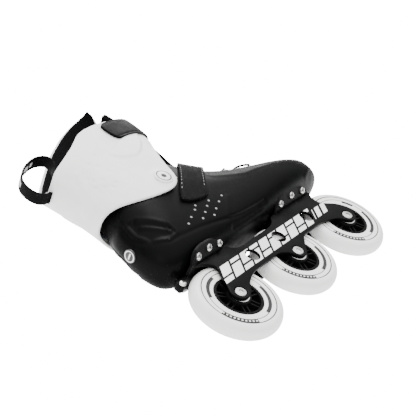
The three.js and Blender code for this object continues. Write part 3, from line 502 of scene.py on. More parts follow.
sink = [(axle_x, WHEEL_RADIUS, 7.9) for axle_x in AXLES.values()]
chassis = side_plate(RAIL_OUTLINE, RAIL_HOLES + sink, -RAIL_OUTER, -RAIL_INNER, 0.55)
join_into(chassis, side_plate(RAIL_OUTLINE, RAIL_HOLES + sink, RAIL_INNER, RAIL_OUTER, 0.55))
for x0, x1 in (REAR_PLATE, FRONT_PLATE):
    join_into(chassis, winged_plate(x0, x1))
web = bmesh.new()
box_into(web, (-83, -RAIL_INNER - 0.5, 97.2), (-44, RAIL_INNER + 0.5, 100.8))
soften(web, 0.8)
join_into(chassis, web)
for axle_x in AXLES.values():
    for hand in (-1, 1):
        seat = spun([(4.3, hand * 12.4), (8.6, hand * 12.4), (9.2, hand * 12.9), (9.2, hand * 14.6),
                     (4.3, hand * 14.6)], 48, (axle_x, 0, WHEEL_RADIUS))
        join_into(chassis, seat)
tab = side_plate([(-156, 111), (-144, 112), (-144, 115), (-156, 115), (-167, 115), (-169.5, 110),
                  (-168, 105.5), (-165, 104), (-161, 105.5)], [(-165, 108.6, 2.3)], -5, 5, 0.5, steps=3)
join_into(chassis, tab)
finish_piece("chassis", chassis, "boot_and_frame", anodised, ["frame"], sharp=32)

# ---- Screws of the sole plates, and the heel bolt ----
# Twelve bright button-head screws go up through the wings into the boot's sole; one cross bolt sits in
# the tab behind the heel, ready for a brake.
slope = math.atan2(PLATE_RISE, PLATE_HALF - PLATE_FLAT_HALF)
SCREW_PLACES = {"rear": (-134, -112, -91), "front": (50, 77, 104)}
for plate, places in SCREW_PLACES.items():
    for hand, sign in (("right", -1), ("left", 1)):
        for index, screw_x in enumerate(places):
            screw_y = 26.5 if index == 1 else 24.5
            screw_z = PLATE_Z + (screw_y - PLATE_FLAT_HALF) * math.tan(slope)
            out = Vector((0, sign * math.sin(slope), -math.cos(slope)))
            aim = Vector((0, -1, 0)).rotation_difference(out).to_matrix().to_4x4()
            screw = keyed_head(4.6, 2.2, 1.7, 2.0, 5.5)
            bmesh.ops.transform(screw, verts=screw.verts,
                                matrix=Matrix.Translation((screw_x, sign * screw_y, screw_z)) @ aim)
            finish_piece(f"button_screw_{plate}_{hand}_{index + 1}", screw, "boot_and_frame", bright,
                         [f"plate_screw_{plate}_{hand}_{index + 1}"])
cross_bolt = keyed_head(4.0, 2.6, 1.5, 2.0, 12.6)
bmesh.ops.translate(cross_bolt, verts=cross_bolt.verts, vec=(-165, -5.3, 108))
finish_piece("brake_bolt", cross_bolt, "boot_and_frame", bright, ["heel_bolt"])

# ---- Boot shell ----
# The shell is one moulding of glass-filled nylon, satin black, open along the instep for the tongue
# and cut low behind the ankle. A groove runs round the heel, with a leaf-shaped louvred recess over it.
STATIONS = [
    # sole end of the section, top end of it as (x, z), half width, roundness of its lower half
    ((165, 128), (170, 148), 15, 2.4),
    ((158, 120.5), (162, 157), 26, 2.6),
    ((141, 117), (148, 166), 36.5, 2.6),
    ((114, 116), (122, 173), 44.5, 2.6),
    ((84, 115.6), (95, 180), 48.5, 2.6),
    ((54, 115.6), (68, 188), 49, 2.6),
    ((22, 115.6), (46, 198), 46.5, 2.8),
    ((-12, 115.6), (27, 209.5), 44, 2.8),
    ((-48, 115.6), (11, 223), 42.5, 3),
    ((-86, 115.8), (0, 238), 42, 3),
    ((-126, 117), (-8, 251), 42.5, 3),
    ((-158, 122), (-14, 261), 43, 2.7),
    ((-171, 136), (-18, 269), 43.5, 2.4),
    ((-174.5, 158), (-21, 276), 43, 2.15),
    ((-172, 180), (-23, 283), 41.5, 2),
    ((-167, 200), (-25, 290), 40, 1.95),
    ((-156, 220), (-29, 297), 39, 1.9),
    ((-152, 244), (-33, 304), 38, 1.9),
]
UPPER_ROUNDNESS = 2.25
SHELL_WALL, SLOT_HALF, SLOT_TOE, SLOT_CORNER = 4.0, 21.0, 97.0, 8.0
PIVOT_X, PIVOT_Z = -83.0, 214.0
RIGID_OFFSET, RIGID_RISE, RIGID_FALL = 12.0, math.radians(21), math.radians(12)


def power(value, exponent):
    return math.copysign(abs(value) ** exponent, value)


def along_rows(rows, place):
    """Numbers of a table at a place between its rows, on a smooth curve through them."""
    place = min(max(place, 0.0), len(rows) - 1.0)
    index = min(int(place), len(rows) - 2)
    t = place - index
    before, low, high, after = (rows[min(max(index + k, 0), len(rows) - 1)] for k in (-1, 0, 1, 2))
    weights = ((-t + 2 * t * t - t ** 3) / 2, (2 - 5 * t * t + 3 * t ** 3) / 2,
               (t + 4 * t * t - 3 * t ** 3) / 2, (t ** 3 - t * t) / 2)
    rows_near = (before, low, high, after)
    return [sum(w * row[i] for w, row in zip(weights, rows_near)) for i in range(len(low))]


SECTIONS = [(*low, *high, half, roundness) for low, high, half, roundness in STATIONS]


def boot_skin(station, angle, inset=0.0):
    """A point of the boot's skin; angle 0 is the sole's middle line, and it grows over the right side."""
    sole_x, sole_z, top_x, top_z, half_width, roundness = along_rows(SECTIONS, station)
    rise = -math.cos(angle)
    shape = 2 / (roundness if rise < 0 else UPPER_ROUNDNESS)
    half = Vector((top_x - sole_x, top_z - sole_z)) / 2
    reach = power(rise, shape) * (1 - inset / half.length)
    across = (half_width - inset) * power(math.sin(angle), shape)
    return Vector(((sole_x + top_x) / 2 + half.x * reach, -across, (sole_z + top_z) / 2 + half.y * reach))


def mapped_grid(columns, rows, place, closed=False):
    """A grid of faces whose corners are put at place(u, v), both from 0 to 1."""
    bm = bmesh.new()
    bmesh.ops.create_grid(bm, x_segments=columns, y_segments=rows, size=1)
    for v in bm.verts:
        v.co = place((v.co.x + 1) / 2, (v.co.y + 1) / 2)
    if closed:
        bmesh.ops.remove_doubles(bm, verts=bm.verts, dist=0.001)
    bmesh.ops.recalc_face_normals(bm, faces=bm.faces)
    return bm


def face_out(bm, centre):
    """Turns an open skin so that it faces away from centre."""
    away = sum((f.calc_center_median() - Vector(centre)).dot(f.normal) * f.calc_area() for f in bm.faces)
    if away < 0:
        bmesh.ops.reverse_faces(bm, faces=bm.faces)


def thicken(bm, wall, edge, segments=2):
    """Gives an outward-facing skin a wall behind it and rounds its rims."""
    bm.normal_update()
    bmesh.ops.solidify(bm, geom=bm.faces[:], thickness=wall)
    bmesh.ops.recalc_face_normals(bm, faces=bm.faces)
    if edge:
        soften(bm, edge, segments, 55)


def off_path(path, x, z):
    """Distance in side view from (x, z) to a line of points."""
    spot = Vector((x, z))
    nearest = 1e9
    for a, b in zip(path, path[1:]):
        a, b = Vector(a), Vector(b)
        share = min(1, max(0, (spot - a).dot(b - a) / (b - a).length_squared))
        nearest = min(nearest, (spot - a.lerp(b, share)).length)
    return nearest


def inside(path, x, z):
    """Whether (x, z) lies inside a closed outline."""
    crossings = 0
    for (ax, az), (bx, bz) in zip(path, path[1:] + path[:1]):
        if (az > z) != (bz > z) and x < (bx - ax) * (z - az) / (bz - az) + ax:
            crossings += 1
    return crossings % 2 == 1


HEEL_GROOVE = [(-156, 217), (-162.5, 200), (-167, 185), (-167, 172), (-162, 157), (-150.5, 146),
               (-129.5, 142), (-105, 139), (-78, 135), (-56, 131), (-30, 127), (19.5, 125)]
LEAF = [(-158, 202), (-151, 196), (-144, 182), (-135.5, 163), (-136, 149), (-149, 148), (-164, 162),
        (-165, 180.5), (-161, 197)]
LOUVRES = [[(-153, 191), (-147, 181), (-139, 164.5)], [(-156, 183), (-149, 168), (-140, 153)]]
CREASES = [[(-28, 153), (-53, 134)], [(-20, 214), (-8, 190), (30, 168), (84, 158)],
           [(120, 124), (146, 134)]]
ARCH = [(-58, 119), (-52, 131), (6, 127), (16, 119)]


def bell(distance, width):
    """A smooth hump, 1 in the middle and fading within about two widths."""
    return math.exp(-(distance / width) ** 2)


def shell_relief(x, z):
    """How far the shell's side stands out from its plain skin at a place in side view."""
    lift = -1.1 * bell(off_path(HEEL_GROOVE, x, z), 2.0)
    if -172 < x < -128 and 140 < z < 208:
        edge = off_path(LEAF + LEAF[:1], x, z)
        if inside(LEAF, x, z):
            lift -= 2.2 * min(1, edge / 3.0)
            for louvre in LOUVRES:
                lift += 1.8 * bell(off_path(louvre, x, z), 2.0)
        lift += 0.8 * bell(edge, 1.9)
    for crease in CREASES:
        lift += 0.5 * bell(off_path(crease, x, z), 3.0)
    if inside(ARCH, x, z):
        lift -= 0.9 * min(1, off_path(ARCH + ARCH[:1], x, z) / 2)
    return lift


def satin_moulding(name, colour, roughness, gloss=0.035):
    material, tree, shader = start_material(name, colour, roughness)
    add_grain(tree, shader, roughness, 0.07, 2200, 0.00006, mottle=45, colour=colour)
    shader.inputs["Specular IOR Level"].default_value = gloss
    return material


shell_black = satin_moulding("shell_black", (0.002, 0.002, 0.0022), 0.36)
TOE_CAP = 0.06          # share of the grid's length that closes the toe
LAST = len(STATIONS) - 1


def shell_place(u, v):
    angle = v * 2 * math.pi
    if u < TOE_CAP:
        spread = math.sin(u / TOE_CAP * math.pi / 2)
        rim, middle = boot_skin(0, angle), (boot_skin(0, 0) + boot_skin(0, math.pi)) / 2
        bulge = 0.8 * math.cos(u / TOE_CAP * math.pi / 2)
        return middle.lerp(rim, max(spread, 1e-4)) + Vector((bulge, 0, 0))
    station = (u - TOE_CAP) / (1 - TOE_CAP) * LAST
    plain = boot_skin(station, angle)
    side = min(1.0, abs(plain.y) / 10)
    return boot_skin(station, angle, -side * shell_relief(plain.x, plain.z))


def rigid_top(x):
    slope = math.tan(RIGID_RISE) if x > PIVOT_X else -math.tan(RIGID_FALL)
    return PIVOT_Z + RIGID_OFFSET + (x - PIVOT_X) * slope


def cut_below(bm, height):
    """Keeps the part of a skin below a V-shaped line through the pivot, seen from the side."""
    corner = Vector((PIVOT_X, 0, height(PIVOT_X)))
    planes = [(corner, Vector((1, 0, 0)))]
    for step in (100, -100):
        run = Vector((PIVOT_X + step, 0, height(PIVOT_X + step))) - corner
        planes.append((corner, run.cross(Vector((0, 1, 0)))))
    for point, normal in planes:
        geom = bm.verts[:] + bm.edges[:] + bm.faces[:]
        bmesh.ops.bisect_plane(bm, geom=geom, plane_co=point, plane_no=normal)
    above = [f for f in bm.faces if f.calc_center_median().z > height(f.calc_center_median().x)]
    bmesh.ops.delete(bm, geom=above, context="FACES")


shell = mapped_grid(240, 200, shell_place, closed=True)
face_out(shell, (0, 0, 170))
cut_below(shell, rigid_top)
SLOT_CUTS = [  # a point and the normal of each plane that bounds the slot
    ((0, SLOT_HALF, 0), (0, 1, 0)), ((0, -SLOT_HALF, 0), (0, 1, 0)), ((SLOT_TOE, 0, 0), (1, 0, 0)),
    ((SLOT_TOE, SLOT_HALF - SLOT_CORNER, 0), (1, 1, 0)),
    ((SLOT_TOE, SLOT_CORNER - SLOT_HALF, 0), (1, -1, 0)),
]
for point, normal in SLOT_CUTS:
    around = [f for f in shell.faces if f.calc_center_median().z > 160]
    geom = around + list({e for f in around for e in f.edges}) + list({v for f in around for v in f.verts})
    bmesh.ops.bisect_plane(shell, geom=geom, plane_co=point, plane_no=normal)


def in_slot(spot):
    corner = abs(spot.y) + spot.x < SLOT_TOE + SLOT_HALF - SLOT_CORNER
    return spot.z > 158 and abs(spot.y) < SLOT_HALF and spot.x < SLOT_TOE and spot.x > -60 and corner


bmesh.ops.delete(shell, geom=[f for f in shell.faces if in_slot(f.calc_center_median())], context="FACES")
thicken(shell, SHELL_WALL, 0.7)
finish_piece("moulded_shell", shell, "boot_and_frame", shell_black, ["boot_shell"], sharp=50)

# Small rivet-like studs stand in three rows over the arch, on both sides; their light grey is a painted
# highlight, standing in for glints on the rims of small vent holes.
STUD_ROWS = [
    [(-114, 149), (-102, 154), (-90, 159.5), (-80, 164)],
    [(-92, 145.5), (-80.5, 150.6), (-69, 156), (-58, 161)],
    [(-71, 142), (-59, 147.5), (-46, 153), (-35, 158)],
]
STUD_RADIUS, STUD_FLATNESS = 1.5, 0.55
# light grey of the studs: painted highlight for the glints on vent-hole rims
stud_glint_grey = satin_moulding("stud_glint_grey", (0.30, 0.30, 0.31), 0.25)


def side_point(x, z):
    """The skin point over (x, z) of the side view, on the right side."""
    best = None
    for step in range(60, 160):
        station = step / 10
        low, high = 0.02, math.pi - 0.02
        for _ in range(18):
            angle = (low + high) / 2
            if boot_skin(station, angle).z < z:
                low = angle
            else:
                high = angle
        miss = abs(boot_skin(station, low).x - x)
        if best is None or miss < best[0]:
            best = (miss, station, low)
    return boot_skin(best[1], best[2])


studs = bmesh.new()
for row in STUD_ROWS:
    for x, z in row:
        for mirror in (1, -1):
            spot = side_point(x, z)
            spot.y *= mirror
            made = bmesh.ops.create_uvsphere(studs, u_segments=12, v_segments=8, radius=STUD_RADIUS)
            bmesh.ops.scale(studs, vec=(1.0, STUD_FLATNESS, 1.0), verts=made["verts"])
            bmesh.ops.translate(studs, vec=spot, verts=made["verts"])
finish_piece("arch_glint_studs", studs, "boot_and_frame", stud_glint_grey)

# A round badge with a plain white ring and bar is set in the heel.
BADGE_BLACK = (0.015, 0.015, 0.016)
badge_print, tree, shader = start_material("badge_print", BADGE_BLACK, 0.3)
add_grain(tree, shader, 0.3, 0.05, 1800, 0.00004)
x, y, z = worn_place(tree)
radius = off_centre(tree, y, z)
badge_ring = within(tree, radius, 5.7, 7.0, PRINT_EDGE)
badge_bar = math_node(tree, "MULTIPLY", within(tree, z, -0.9, 0.9, PRINT_EDGE),
                      within(tree, radius, -1.0, 4.0, PRINT_EDGE))
badge_mark = math_node(tree, "MAXIMUM", badge_ring, badge_bar)
tree.links.new(mix_colour(tree, badge_mark, BADGE_BLACK, PRINT_WHITE), shader.inputs["Base Color"])
BADGE_CENTRE = (-173.2, 0.0, 175.0)
badge = spun([(0.01, -1.6), (7.2, -1.5), (7.9, -1.1), (8.2, -0.4), (8.2, 1.2), (0.01, 1.2)], 56)
bmesh.ops.transform(badge, verts=badge.verts, matrix=Matrix.Translation(BADGE_CENTRE)
                    @ Matrix.Rotation(math.radians(6), 4, "Y") @ Matrix.Rotation(-math.pi / 2, 4, "Z"))
finish_piece("heel_badge", badge, "boot_and_frame", badge_print, hub=BADGE_CENTRE)

# ---- Liner, footbed and tongue ----
# The liner is a padded textile boot: a sock inside the shell and a soft collar inside the cuff. Its
# cloth is a black air mesh, and its collar and tongue are foam under a finely ribbed knit.
LINER_INSET, LINER_WALL = 4.8, 5.0


def woven_cloth(name, colour, pitch, depth, roughness=0.85):
    """Cloth whose weave shows as crossed waves; pitch is in metres."""
    material, tree, shader = start_material(name, colour, roughness)
    place = link(tree, "ShaderNodeTexCoord").outputs["Object"]
    settings = {"Vector": place, "Scale": 1 / pitch, "Distortion": 0.6, "Detail": 1.0}
    warp = link(tree, "ShaderNodeTexWave", settings, bands_direction="X").outputs["Fac"]
    weft = link(tree, "ShaderNodeTexWave", settings, bands_direction="Z").outputs["Fac"]
    cross = link(tree, "ShaderNodeTexWave", settings, bands_direction="Y").outputs["Fac"]
    weave = math_node(tree, "MULTIPLY", math_node(tree, "MAXIMUM", warp, cross), weft)
    fuzz = link(tree, "ShaderNodeTexNoise", {"Vector": place, "Scale": 500.0, "Detail": 4.0}).outputs["Fac"]
    height = math_node(tree, "ADD", weave, math_node(tree, "MULTIPLY", fuzz, 0.4))
    bump = link(tree, "ShaderNodeBump", {"Height": height, "Strength": 0.6, "Distance": depth})
    tree.links.new(bump.outputs[0], shader.inputs["Normal"])
    lighter = tuple(min(1, c * 2 + 0.001) for c in colour)
    tree.links.new(mix_colour(tree, math_node(tree, "MULTIPLY", weave, 0.6), colour, lighter),
                   shader.inputs["Base Color"])
    shader.inputs["Sheen Weight"].default_value = 0.01
    shader.inputs["Specular IOR Level"].default_value = 0.02
    return material


collar_knit = woven_cloth("collar_knit", (0.002, 0.002, 0.0022), 0.0022, 0.0004)
air_mesh = woven_cloth("air_mesh", (0.004, 0.004, 0.0042), 0.0035, 0.0005)

SOCK_START = 1.1                # station where the sock's toe begins


def sock_place(u, v):
    return boot_skin(SOCK_START + u * (LAST - SOCK_START), v * 2 * math.pi, LINER_INSET)


sock = mapped_grid(80, 72, sock_place, closed=True)
toe_rim = [e for e in sock.edges if e.is_boundary and all(v.co.x > 120 for v in e.verts)]
bmesh.ops.holes_fill(sock, edges=toe_rim, sides=0)
bmesh.ops.recalc_face_normals(sock, faces=sock.faces)
face_out(sock, (0, 0, 170))
cut_below(sock, lambda x: rigid_top(x) - 0.5)
thicken(sock, LINER_WALL, 1.2)
finish_piece("liner_sock", sock, "boot_and_frame", air_mesh, ["liner_foot"])

FOOTBED_THICKNESS = 3.5


def footbed_place(u, v):
    share = (v - 0.5) * 0.6
    spot = boot_skin(2.3 + u * 8.4, share * math.pi, LINER_INSET + LINER_WALL + 0.5)
    return spot + Vector((0, 0, FOOTBED_THICKNESS))


sole_pad = mapped_grid(70, 30, footbed_place)
if sum(f.normal.z for f in sole_pad.faces) < 0:
    bmesh.ops.reverse_faces(sole_pad, faces=sole_pad.faces)
thicken(sole_pad, FOOTBED_THICKNESS - 0.3, 0.8)
finish_piece("sole_pad", sole_pad, "boot_and_frame", air_mesh, ["footbed"])

# The cuff's lines are needed here first, since the collar and the tongue follow its inside.
CUFF_LEVELS = [
    # height, back x, front x, half width
    (188, -165, 2, 49), (214, -164, 6, 49), (240, -163, 9, 48.5), (266, -165, 12, 47.5),
    (292, -170, 15, 46.5), (318, -175, 18, 46), (350, -180, 22, 45), (410, -186, 28, 45),
]
CUFF_ROUNDNESS, CUFF_WALL = 2.15, 3.6


def cuff_level(height):
    """Back x, front x and half width of the cuff's skin at a height."""
    index = 0
    while index < len(CUFF_LEVELS) - 2 and CUFF_LEVELS[index + 1][0] < height:
        index += 1
    low, high = CUFF_LEVELS[index], CUFF_LEVELS[index + 1]
    place = index + (height - low[0]) / (high[0] - low[0])
    return along_rows(CUFF_LEVELS, place)[1:]


def cuff_skin(height, angle, inset=0.0):
    """A point of the cuff's skin; angle 0 is the front, and it grows over the left side."""
    back, front, half_width = cuff_level(height)
    back, front, half_width = back + inset, front - inset, half_width - inset
    x = (back + front) / 2 + (front - back) / 2 * power(math.cos(angle), 2 / CUFF_ROUNDNESS)
    return Vector((x, half_width * power(math.sin(angle), 2 / CUFF_ROUNDNESS), height))


def front_angle(height, inset, stop):
    """Where the skin at this height passes the plane x = stop, as an angle from the front."""
    back, front, _ = cuff_level(height)
    back, front = back + inset, front - inset
    share = (stop - (back + front) / 2) / ((front - back) / 2)
    return math.acos(max(-1, min(1, power(share, CUFF_ROUNDNESS / 2))))


# the cuff's edges in side view, as (x, z), and its front edge on the left as (z, x)
RIM_LEFT = [(-200, 300), (-178, 301), (-170, 305), (-150, 324), (-130, 340), (-111, 353), (-96, 363),
            (-77, 375), (-56, 387), (-36, 396), (-22, 402), (-11, 405), (0, 407), (10, 407), (18, 404),
            (23, 397), (26, 386), (60, 345)]
RIM_RIGHT = [(-200, 300), (-178, 301), (-171, 302), (-160, 308), (-144, 312), (-127, 317.5),
             (-115, 323), (-105, 328), (-97, 330.5), (-88, 332), (-66, 333), (-33, 331.5), (60, 328)]
CUFF_HEM = [(-200, 230), (-174, 230), (-160, 228), (-150, 222), (-138, 213), (-128, 206.5),
            (-116, 201), (-101, 197), (-87, 196), (-77, 198), (-68, 203), (-61, 212), (-57, 221),
            (-52, 232), (-46, 243), (-37, 256), (-27, 268), (-16, 279), (-4, 292), (2, 306), (4, 330)]
CUFF_FRONT = [(330, 4), (352, 10), (374, 18), (396, 23), (440, 25)]


def height_at(edge, x):
    """Height of an edge line at x, on a smooth curve through its points."""
    for index, (a, b) in enumerate(zip(edge, edge[1:])):
        if a[0] <= x <= b[0]:
            return along_rows(edge, index + (x - a[0]) / (b[0] - a[0]))[1]
    return edge[-1][1] if x > edge[-1][0] else edge[0][1]


def rim_height(spot):
    """Height of the cuff's rim over a point; across the open front it climbs from right to left."""
    share = min(1, max(0, (spot.y + 26) / 24)) if spot.x > -20 else float(spot.y > 0)
    share = share * share * (3 - 2 * share)
    return height_at(RIM_RIGHT, spot.x) * (1 - share) + height_at(RIM_LEFT, spot.x) * share


def wrap_spot(share, level, inset, stop, low_edge, high_edge):
    """A point of a wrap round the leg: share runs from the right front by the heel to the left front."""
    height = 300.0
    for _ in range(12):
        side = (share - 0.5) * 2
        reach = stop(height) if callable(stop) else stop
        angle = math.pi - side * (math.pi - front_angle(height, inset, reach))
        spot = cuff_skin(height, angle, inset)
        low, high = low_edge(spot), high_edge(spot)
        height = height * 0.4 + (low + (high - low) * level) * 0.6
    return spot


COLLAR_IN, COLLAR_OUT, COLLAR_DROP = 10.1, 4.1, 4.0


def collar_low(spot):
    """Height of the collar's lower edge, a V over the rivets that clears the sock as the cuff leans."""
    rise = math.tan(math.radians(38)) if spot.x > PIVOT_X else -math.tan(math.radians(18))
    return min(PIVOT_Z + 16 + (spot.x - PIVOT_X) * rise, rim_height(spot) - 20)


def wall_section(v, outer, inner, lip):
    """Round a wall's section: up the outside, over the rim, down the inside and back under the hem."""
    middle, half = (outer + inner) / 2, (inner - outer) / 2
    if v < 0.5 - lip:
        return v / (0.5 - lip), outer, 0.0
    if v < 0.5:
        bend = (v - 0.5 + lip) / lip * math.pi
        return 1.0, middle - half * math.cos(bend), half * math.sin(bend)
    if v < 1 - lip:
        return 1 - (v - 0.5) / (0.5 - lip), inner, 0.0
    bend = (v - 1 + lip) / lip * math.pi
    return 0.0, middle + half * math.cos(bend), -half * math.sin(bend)


COLLAR_FRONT = [(338, -0.5), (360, 7), (380, 14), (400, 18), (440, 20)]


def collar_front(height):
    return height_at(COLLAR_FRONT, height)


def collar_place(s, v):
    u = (s + (1 - math.cos(math.pi * s)) / 2) / 2
    level, inset, lift = wall_section(v, COLLAR_OUT, COLLAR_IN, 0.1)
    middle = (COLLAR_OUT + COLLAR_IN) / 2
    near = min(1, min(u, 1 - u) / 0.012)
    quilt = 0.5 * abs(math.sin(level * 9)) if inset == COLLAR_IN else 0
    inset = middle + (inset + quilt - middle) * math.sqrt(max(0, 1 - (1 - near) ** 2))
    spot = wrap_spot(u, level, inset, collar_front, collar_low, lambda s: rim_height(s) - COLLAR_DROP - 2.6)
    return spot + Vector((0, 0, lift * near))


collar = mapped_grid(130, 60, collar_place, closed=True)
finish_piece("collar_pad", collar, "cuff", collar_knit, ["liner_collar"], sharp=60)

TONGUE_ROWS = [4.45, 5.5, 6.5, 7.5, 8.5, 9.5]      # stations of its key rows over the boot
TONGUE_HEIGHTS = [268, 292, 312, 328]              # and their heights inside the cuff
TONGUE_TOP, TONGUE_FRONT, TONGUE_INSET = 368, 1.0, 4.6
TONGUE_STEPS = len(TONGUE_ROWS) + len(TONGUE_HEIGHTS)


def tongue_key(row, share):
    """A point of the tongue's outside in one of its key rows; share is -1 on the right, 1 on the left."""
    if row < len(TONGUE_ROWS):
        station = TONGUE_ROWS[row]
        top, inner = boot_skin(station, math.pi), boot_skin(station, math.pi, 4)
        lean = (top - inner).normalized()
        return top + lean * (0.3 - 4.2 * share * share) + Vector((0, share * 20.3, 0))
    if row < TONGUE_STEPS:
        height = TONGUE_HEIGHTS[row - len(TONGUE_ROWS)]
        angle = share * front_angle(height, TONGUE_INSET, TONGUE_FRONT)
        return cuff_skin(height, angle, TONGUE_INSET)
    beside = collar_front(TONGUE_TOP) + 2 if share > 0 else TONGUE_FRONT
    spot = cuff_skin(TONGUE_TOP, share * front_angle(TONGUE_TOP, TONGUE_INSET, beside), TONGUE_INSET)
    height = max(336, min(372, rim_height(spot) - 12))
    return cuff_skin(height, share * front_angle(height, TONGUE_INSET, beside), TONGUE_INSET)


def tongue_place(u, v):
    share = (v - 0.5) * 2
    keys = [tuple(tongue_key(row, share)) for row in range(TONGUE_STEPS + 1)]
    spot = Vector(along_rows(keys, u * TONGUE_STEPS))
    ridges = 0.35 * math.sin(u * 60) if u > 0.55 else 0
    return spot - Vector((abs(ridges), 0, 0))


tongue = mapped_grid(96, 40, tongue_place)
if sum(f.normal.x for f in tongue.faces) < 0:
    bmesh.ops.reverse_faces(tongue, faces=tongue.faces)
thicken(tongue, 5.5, 1.6, 3)
tongue_pad = finish_piece("tongue_pad", tongue, "boot_and_frame", collar_knit)
tongue_pad.parent = None
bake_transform(tongue_pad)
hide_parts("tongue_lower", "tongue_upper")

# ---- Eyelets and lace ----
# Three pairs of pressed steel eyelets stand beside the slot. A flat black braided lace runs through
# them in a zigzag over the tongue.
EYELET_ROWS, EYELET_SHARE, EYELET_TOP, LACE_RADIUS = (4.8, 5.6, 6.4), 0.8, 1.0, 1.5


def eyelet_place(station, side):
    angle = side * EYELET_SHARE * math.pi
    spot = boot_skin(station, angle)
    along, around = boot_skin(station + 0.05, angle) - spot, boot_skin(station, angle + 0.02) - spot
    normal = along.cross(around).normalized()
    return spot, normal if normal.z > 0 else -normal


for index, station in enumerate(EYELET_ROWS):
    for hand, side in (("right", 1), ("left", -1)):
        spot, normal = eyelet_place(station, side)
        eyelet = spun([(1.7, 2.8), (1.7, -0.8), (1.95, -1.05), (3.6, -1.05), (4.2, -0.8), (4.4, -0.3),
                       (3.1, -0.25), (3.0, 2.8)], 32)
        aim = Vector((0, -1, 0)).rotation_difference(normal).to_matrix().to_4x4()
        bmesh.ops.transform(eyelet, verts=eyelet.verts, matrix=Matrix.Translation(spot) @ aim)
        finish_piece(f"lace_eyelet_{hand}_{index + 1}", eyelet, "boot_and_frame", bright,
                     [f"eyelet_{hand}_{index + 1}"])

lace_keys = []
for row, station in enumerate(EYELET_ROWS):
    ends = [eyelet_place(station, side) for side in ((-1, 1) if row % 2 == 0 else (1, -1))]
    rise = EYELET_TOP + LACE_RADIUS + 0.6
    start, stop = (spot + normal * rise for spot, normal in ends)
    crown = boot_skin(station, math.pi) + Vector((0, 0, LACE_RADIUS + 1.8))
    hump = Vector((0, 0, 1.8))
    lace_keys += [start, (start + crown) / 2 + hump, crown, (stop + crown) / 2 + hump, stop]


def round_path(keys, radius, flat=1.0):
    """A place function for a cord through key points, with rounded, slightly flattened section."""
    def place(u, v):
        spot = Vector(along_rows(keys, u * (len(keys) - 1)))
        ahead = Vector(along_rows(keys, min(1, u + 0.01) * (len(keys) - 1)))
        behind = Vector(along_rows(keys, max(0, u - 0.01) * (len(keys) - 1)))
        run = (ahead - behind).normalized()
        side = run.cross(Vector((0, 0, 1))).normalized()
        up = side.cross(run)
        turn_by = v * 2 * math.pi
        return spot + side * (radius * math.cos(turn_by)) + up * (radius * flat * math.sin(turn_by))
    return place


braid = woven_cloth("lace_braid", (0.01, 0.01, 0.01), 0.0012, 0.0003)
lace = mapped_grid(170, 14, round_path(lace_keys, LACE_RADIUS, 0.8), closed=True)
bmesh.ops.holes_fill(lace, edges=[e for e in lace.edges if e.is_boundary], sides=0)
bmesh.ops.recalc_face_normals(lace, faces=lace.faces)
finish_piece("braided_lace", lace, "boot_and_frame", braid, ["lace"], sharp=70)

# ---- Cuff ----
# The cuff is a white satin moulding that wraps the leg and is open in front. It swings on two rivets
# at the ankle; a crease runs up its heel, and its wings carry a raised panel and shallow dimples.
cuff_white = satin_moulding("cuff_white", (0.88, 0.88, 0.875), 0.38, gloss=0.3)
HEEL_CREASE = [(-148, 285), (-153.7, 268), (-157.4, 253), (-159.4, 242), (-160, 232)]
WING_PANEL = [(-97.5, 285), (-77, 291), (-35, 302), (-14, 306), (-37, 279), (-56, 266), (-73, 259),
              (-91, 266), (-103, 278)]
PANEL_EDGE = WING_PANEL + WING_PANEL[:1]
PIVOT_BOSS = 15.0
DIMPLES = [(-116, 289), (-131, 285), (-126, 276), (-123, 262), (-146, 272), (-143, 266),
           (-136.5, 259), (-130, 246), (-142, 251), (-136, 243), (-148, 258)]


def cuff_relief(x, z):
    """How far the cuff's side stands out from its plain skin at a place in side view."""
    lift = 1.3 * bell(off_path(HEEL_CREASE, x, z), 3.0)
    if -110 < x < -8 and 250 < z < 312:
        edge = off_path(PANEL_EDGE, x, z)
        if inside(WING_PANEL, x, z):
            lift += 1.7 * min(1, edge / 2.2)
    for dx, dz in DIMPLES:
        lift -= 1.2 * bell(math.hypot((x - dx) * 1.5, (z - dz) * 0.8), 2.2)
    pivot = math.hypot(x - PIVOT_X, z - PIVOT_Z)
    lift += 1.7 / (1 + math.exp((pivot - PIVOT_BOSS) / 0.8))
    return lift


def hem_height(spot):
    return height_at(CUFF_HEM, spot.x) + CUFF_WALL / 2


def front_edge(height):
    return height_at(CUFF_FRONT, height)


def cuff_place(s, v):
    u = (s + (1 - math.cos(math.pi * s)) / 2) / 2
    level, inset, lift = wall_section(v, 0, CUFF_WALL, 0.05)
    near = min(1, min(u, 1 - u) / 0.006)
    inset = CUFF_WALL / 2 + (inset - CUFF_WALL / 2) * math.sqrt(max(0, 1 - (1 - near) ** 2))
    plain = wrap_spot(u, level, inset, front_edge, hem_height, lambda s: rim_height(s) - CUFF_WALL / 2)
    relief = cuff_relief(plain.x, plain.z) * min(1, abs(plain.y) / 8) * (1 - inset / CUFF_WALL) * near
    out = (plain - Vector((-78, 0, plain.z))).normalized()
    if abs(plain.y) > 40:
        out = Vector((0, math.copysign(1, plain.y), 0))
    return plain + out * relief + Vector((0, 0, lift))


cuff = mapped_grid(240, 150, cuff_place, closed=True)
finish_piece("leg_cuff", cuff, "cuff", cuff_white, ["cuff"], sharp=50)

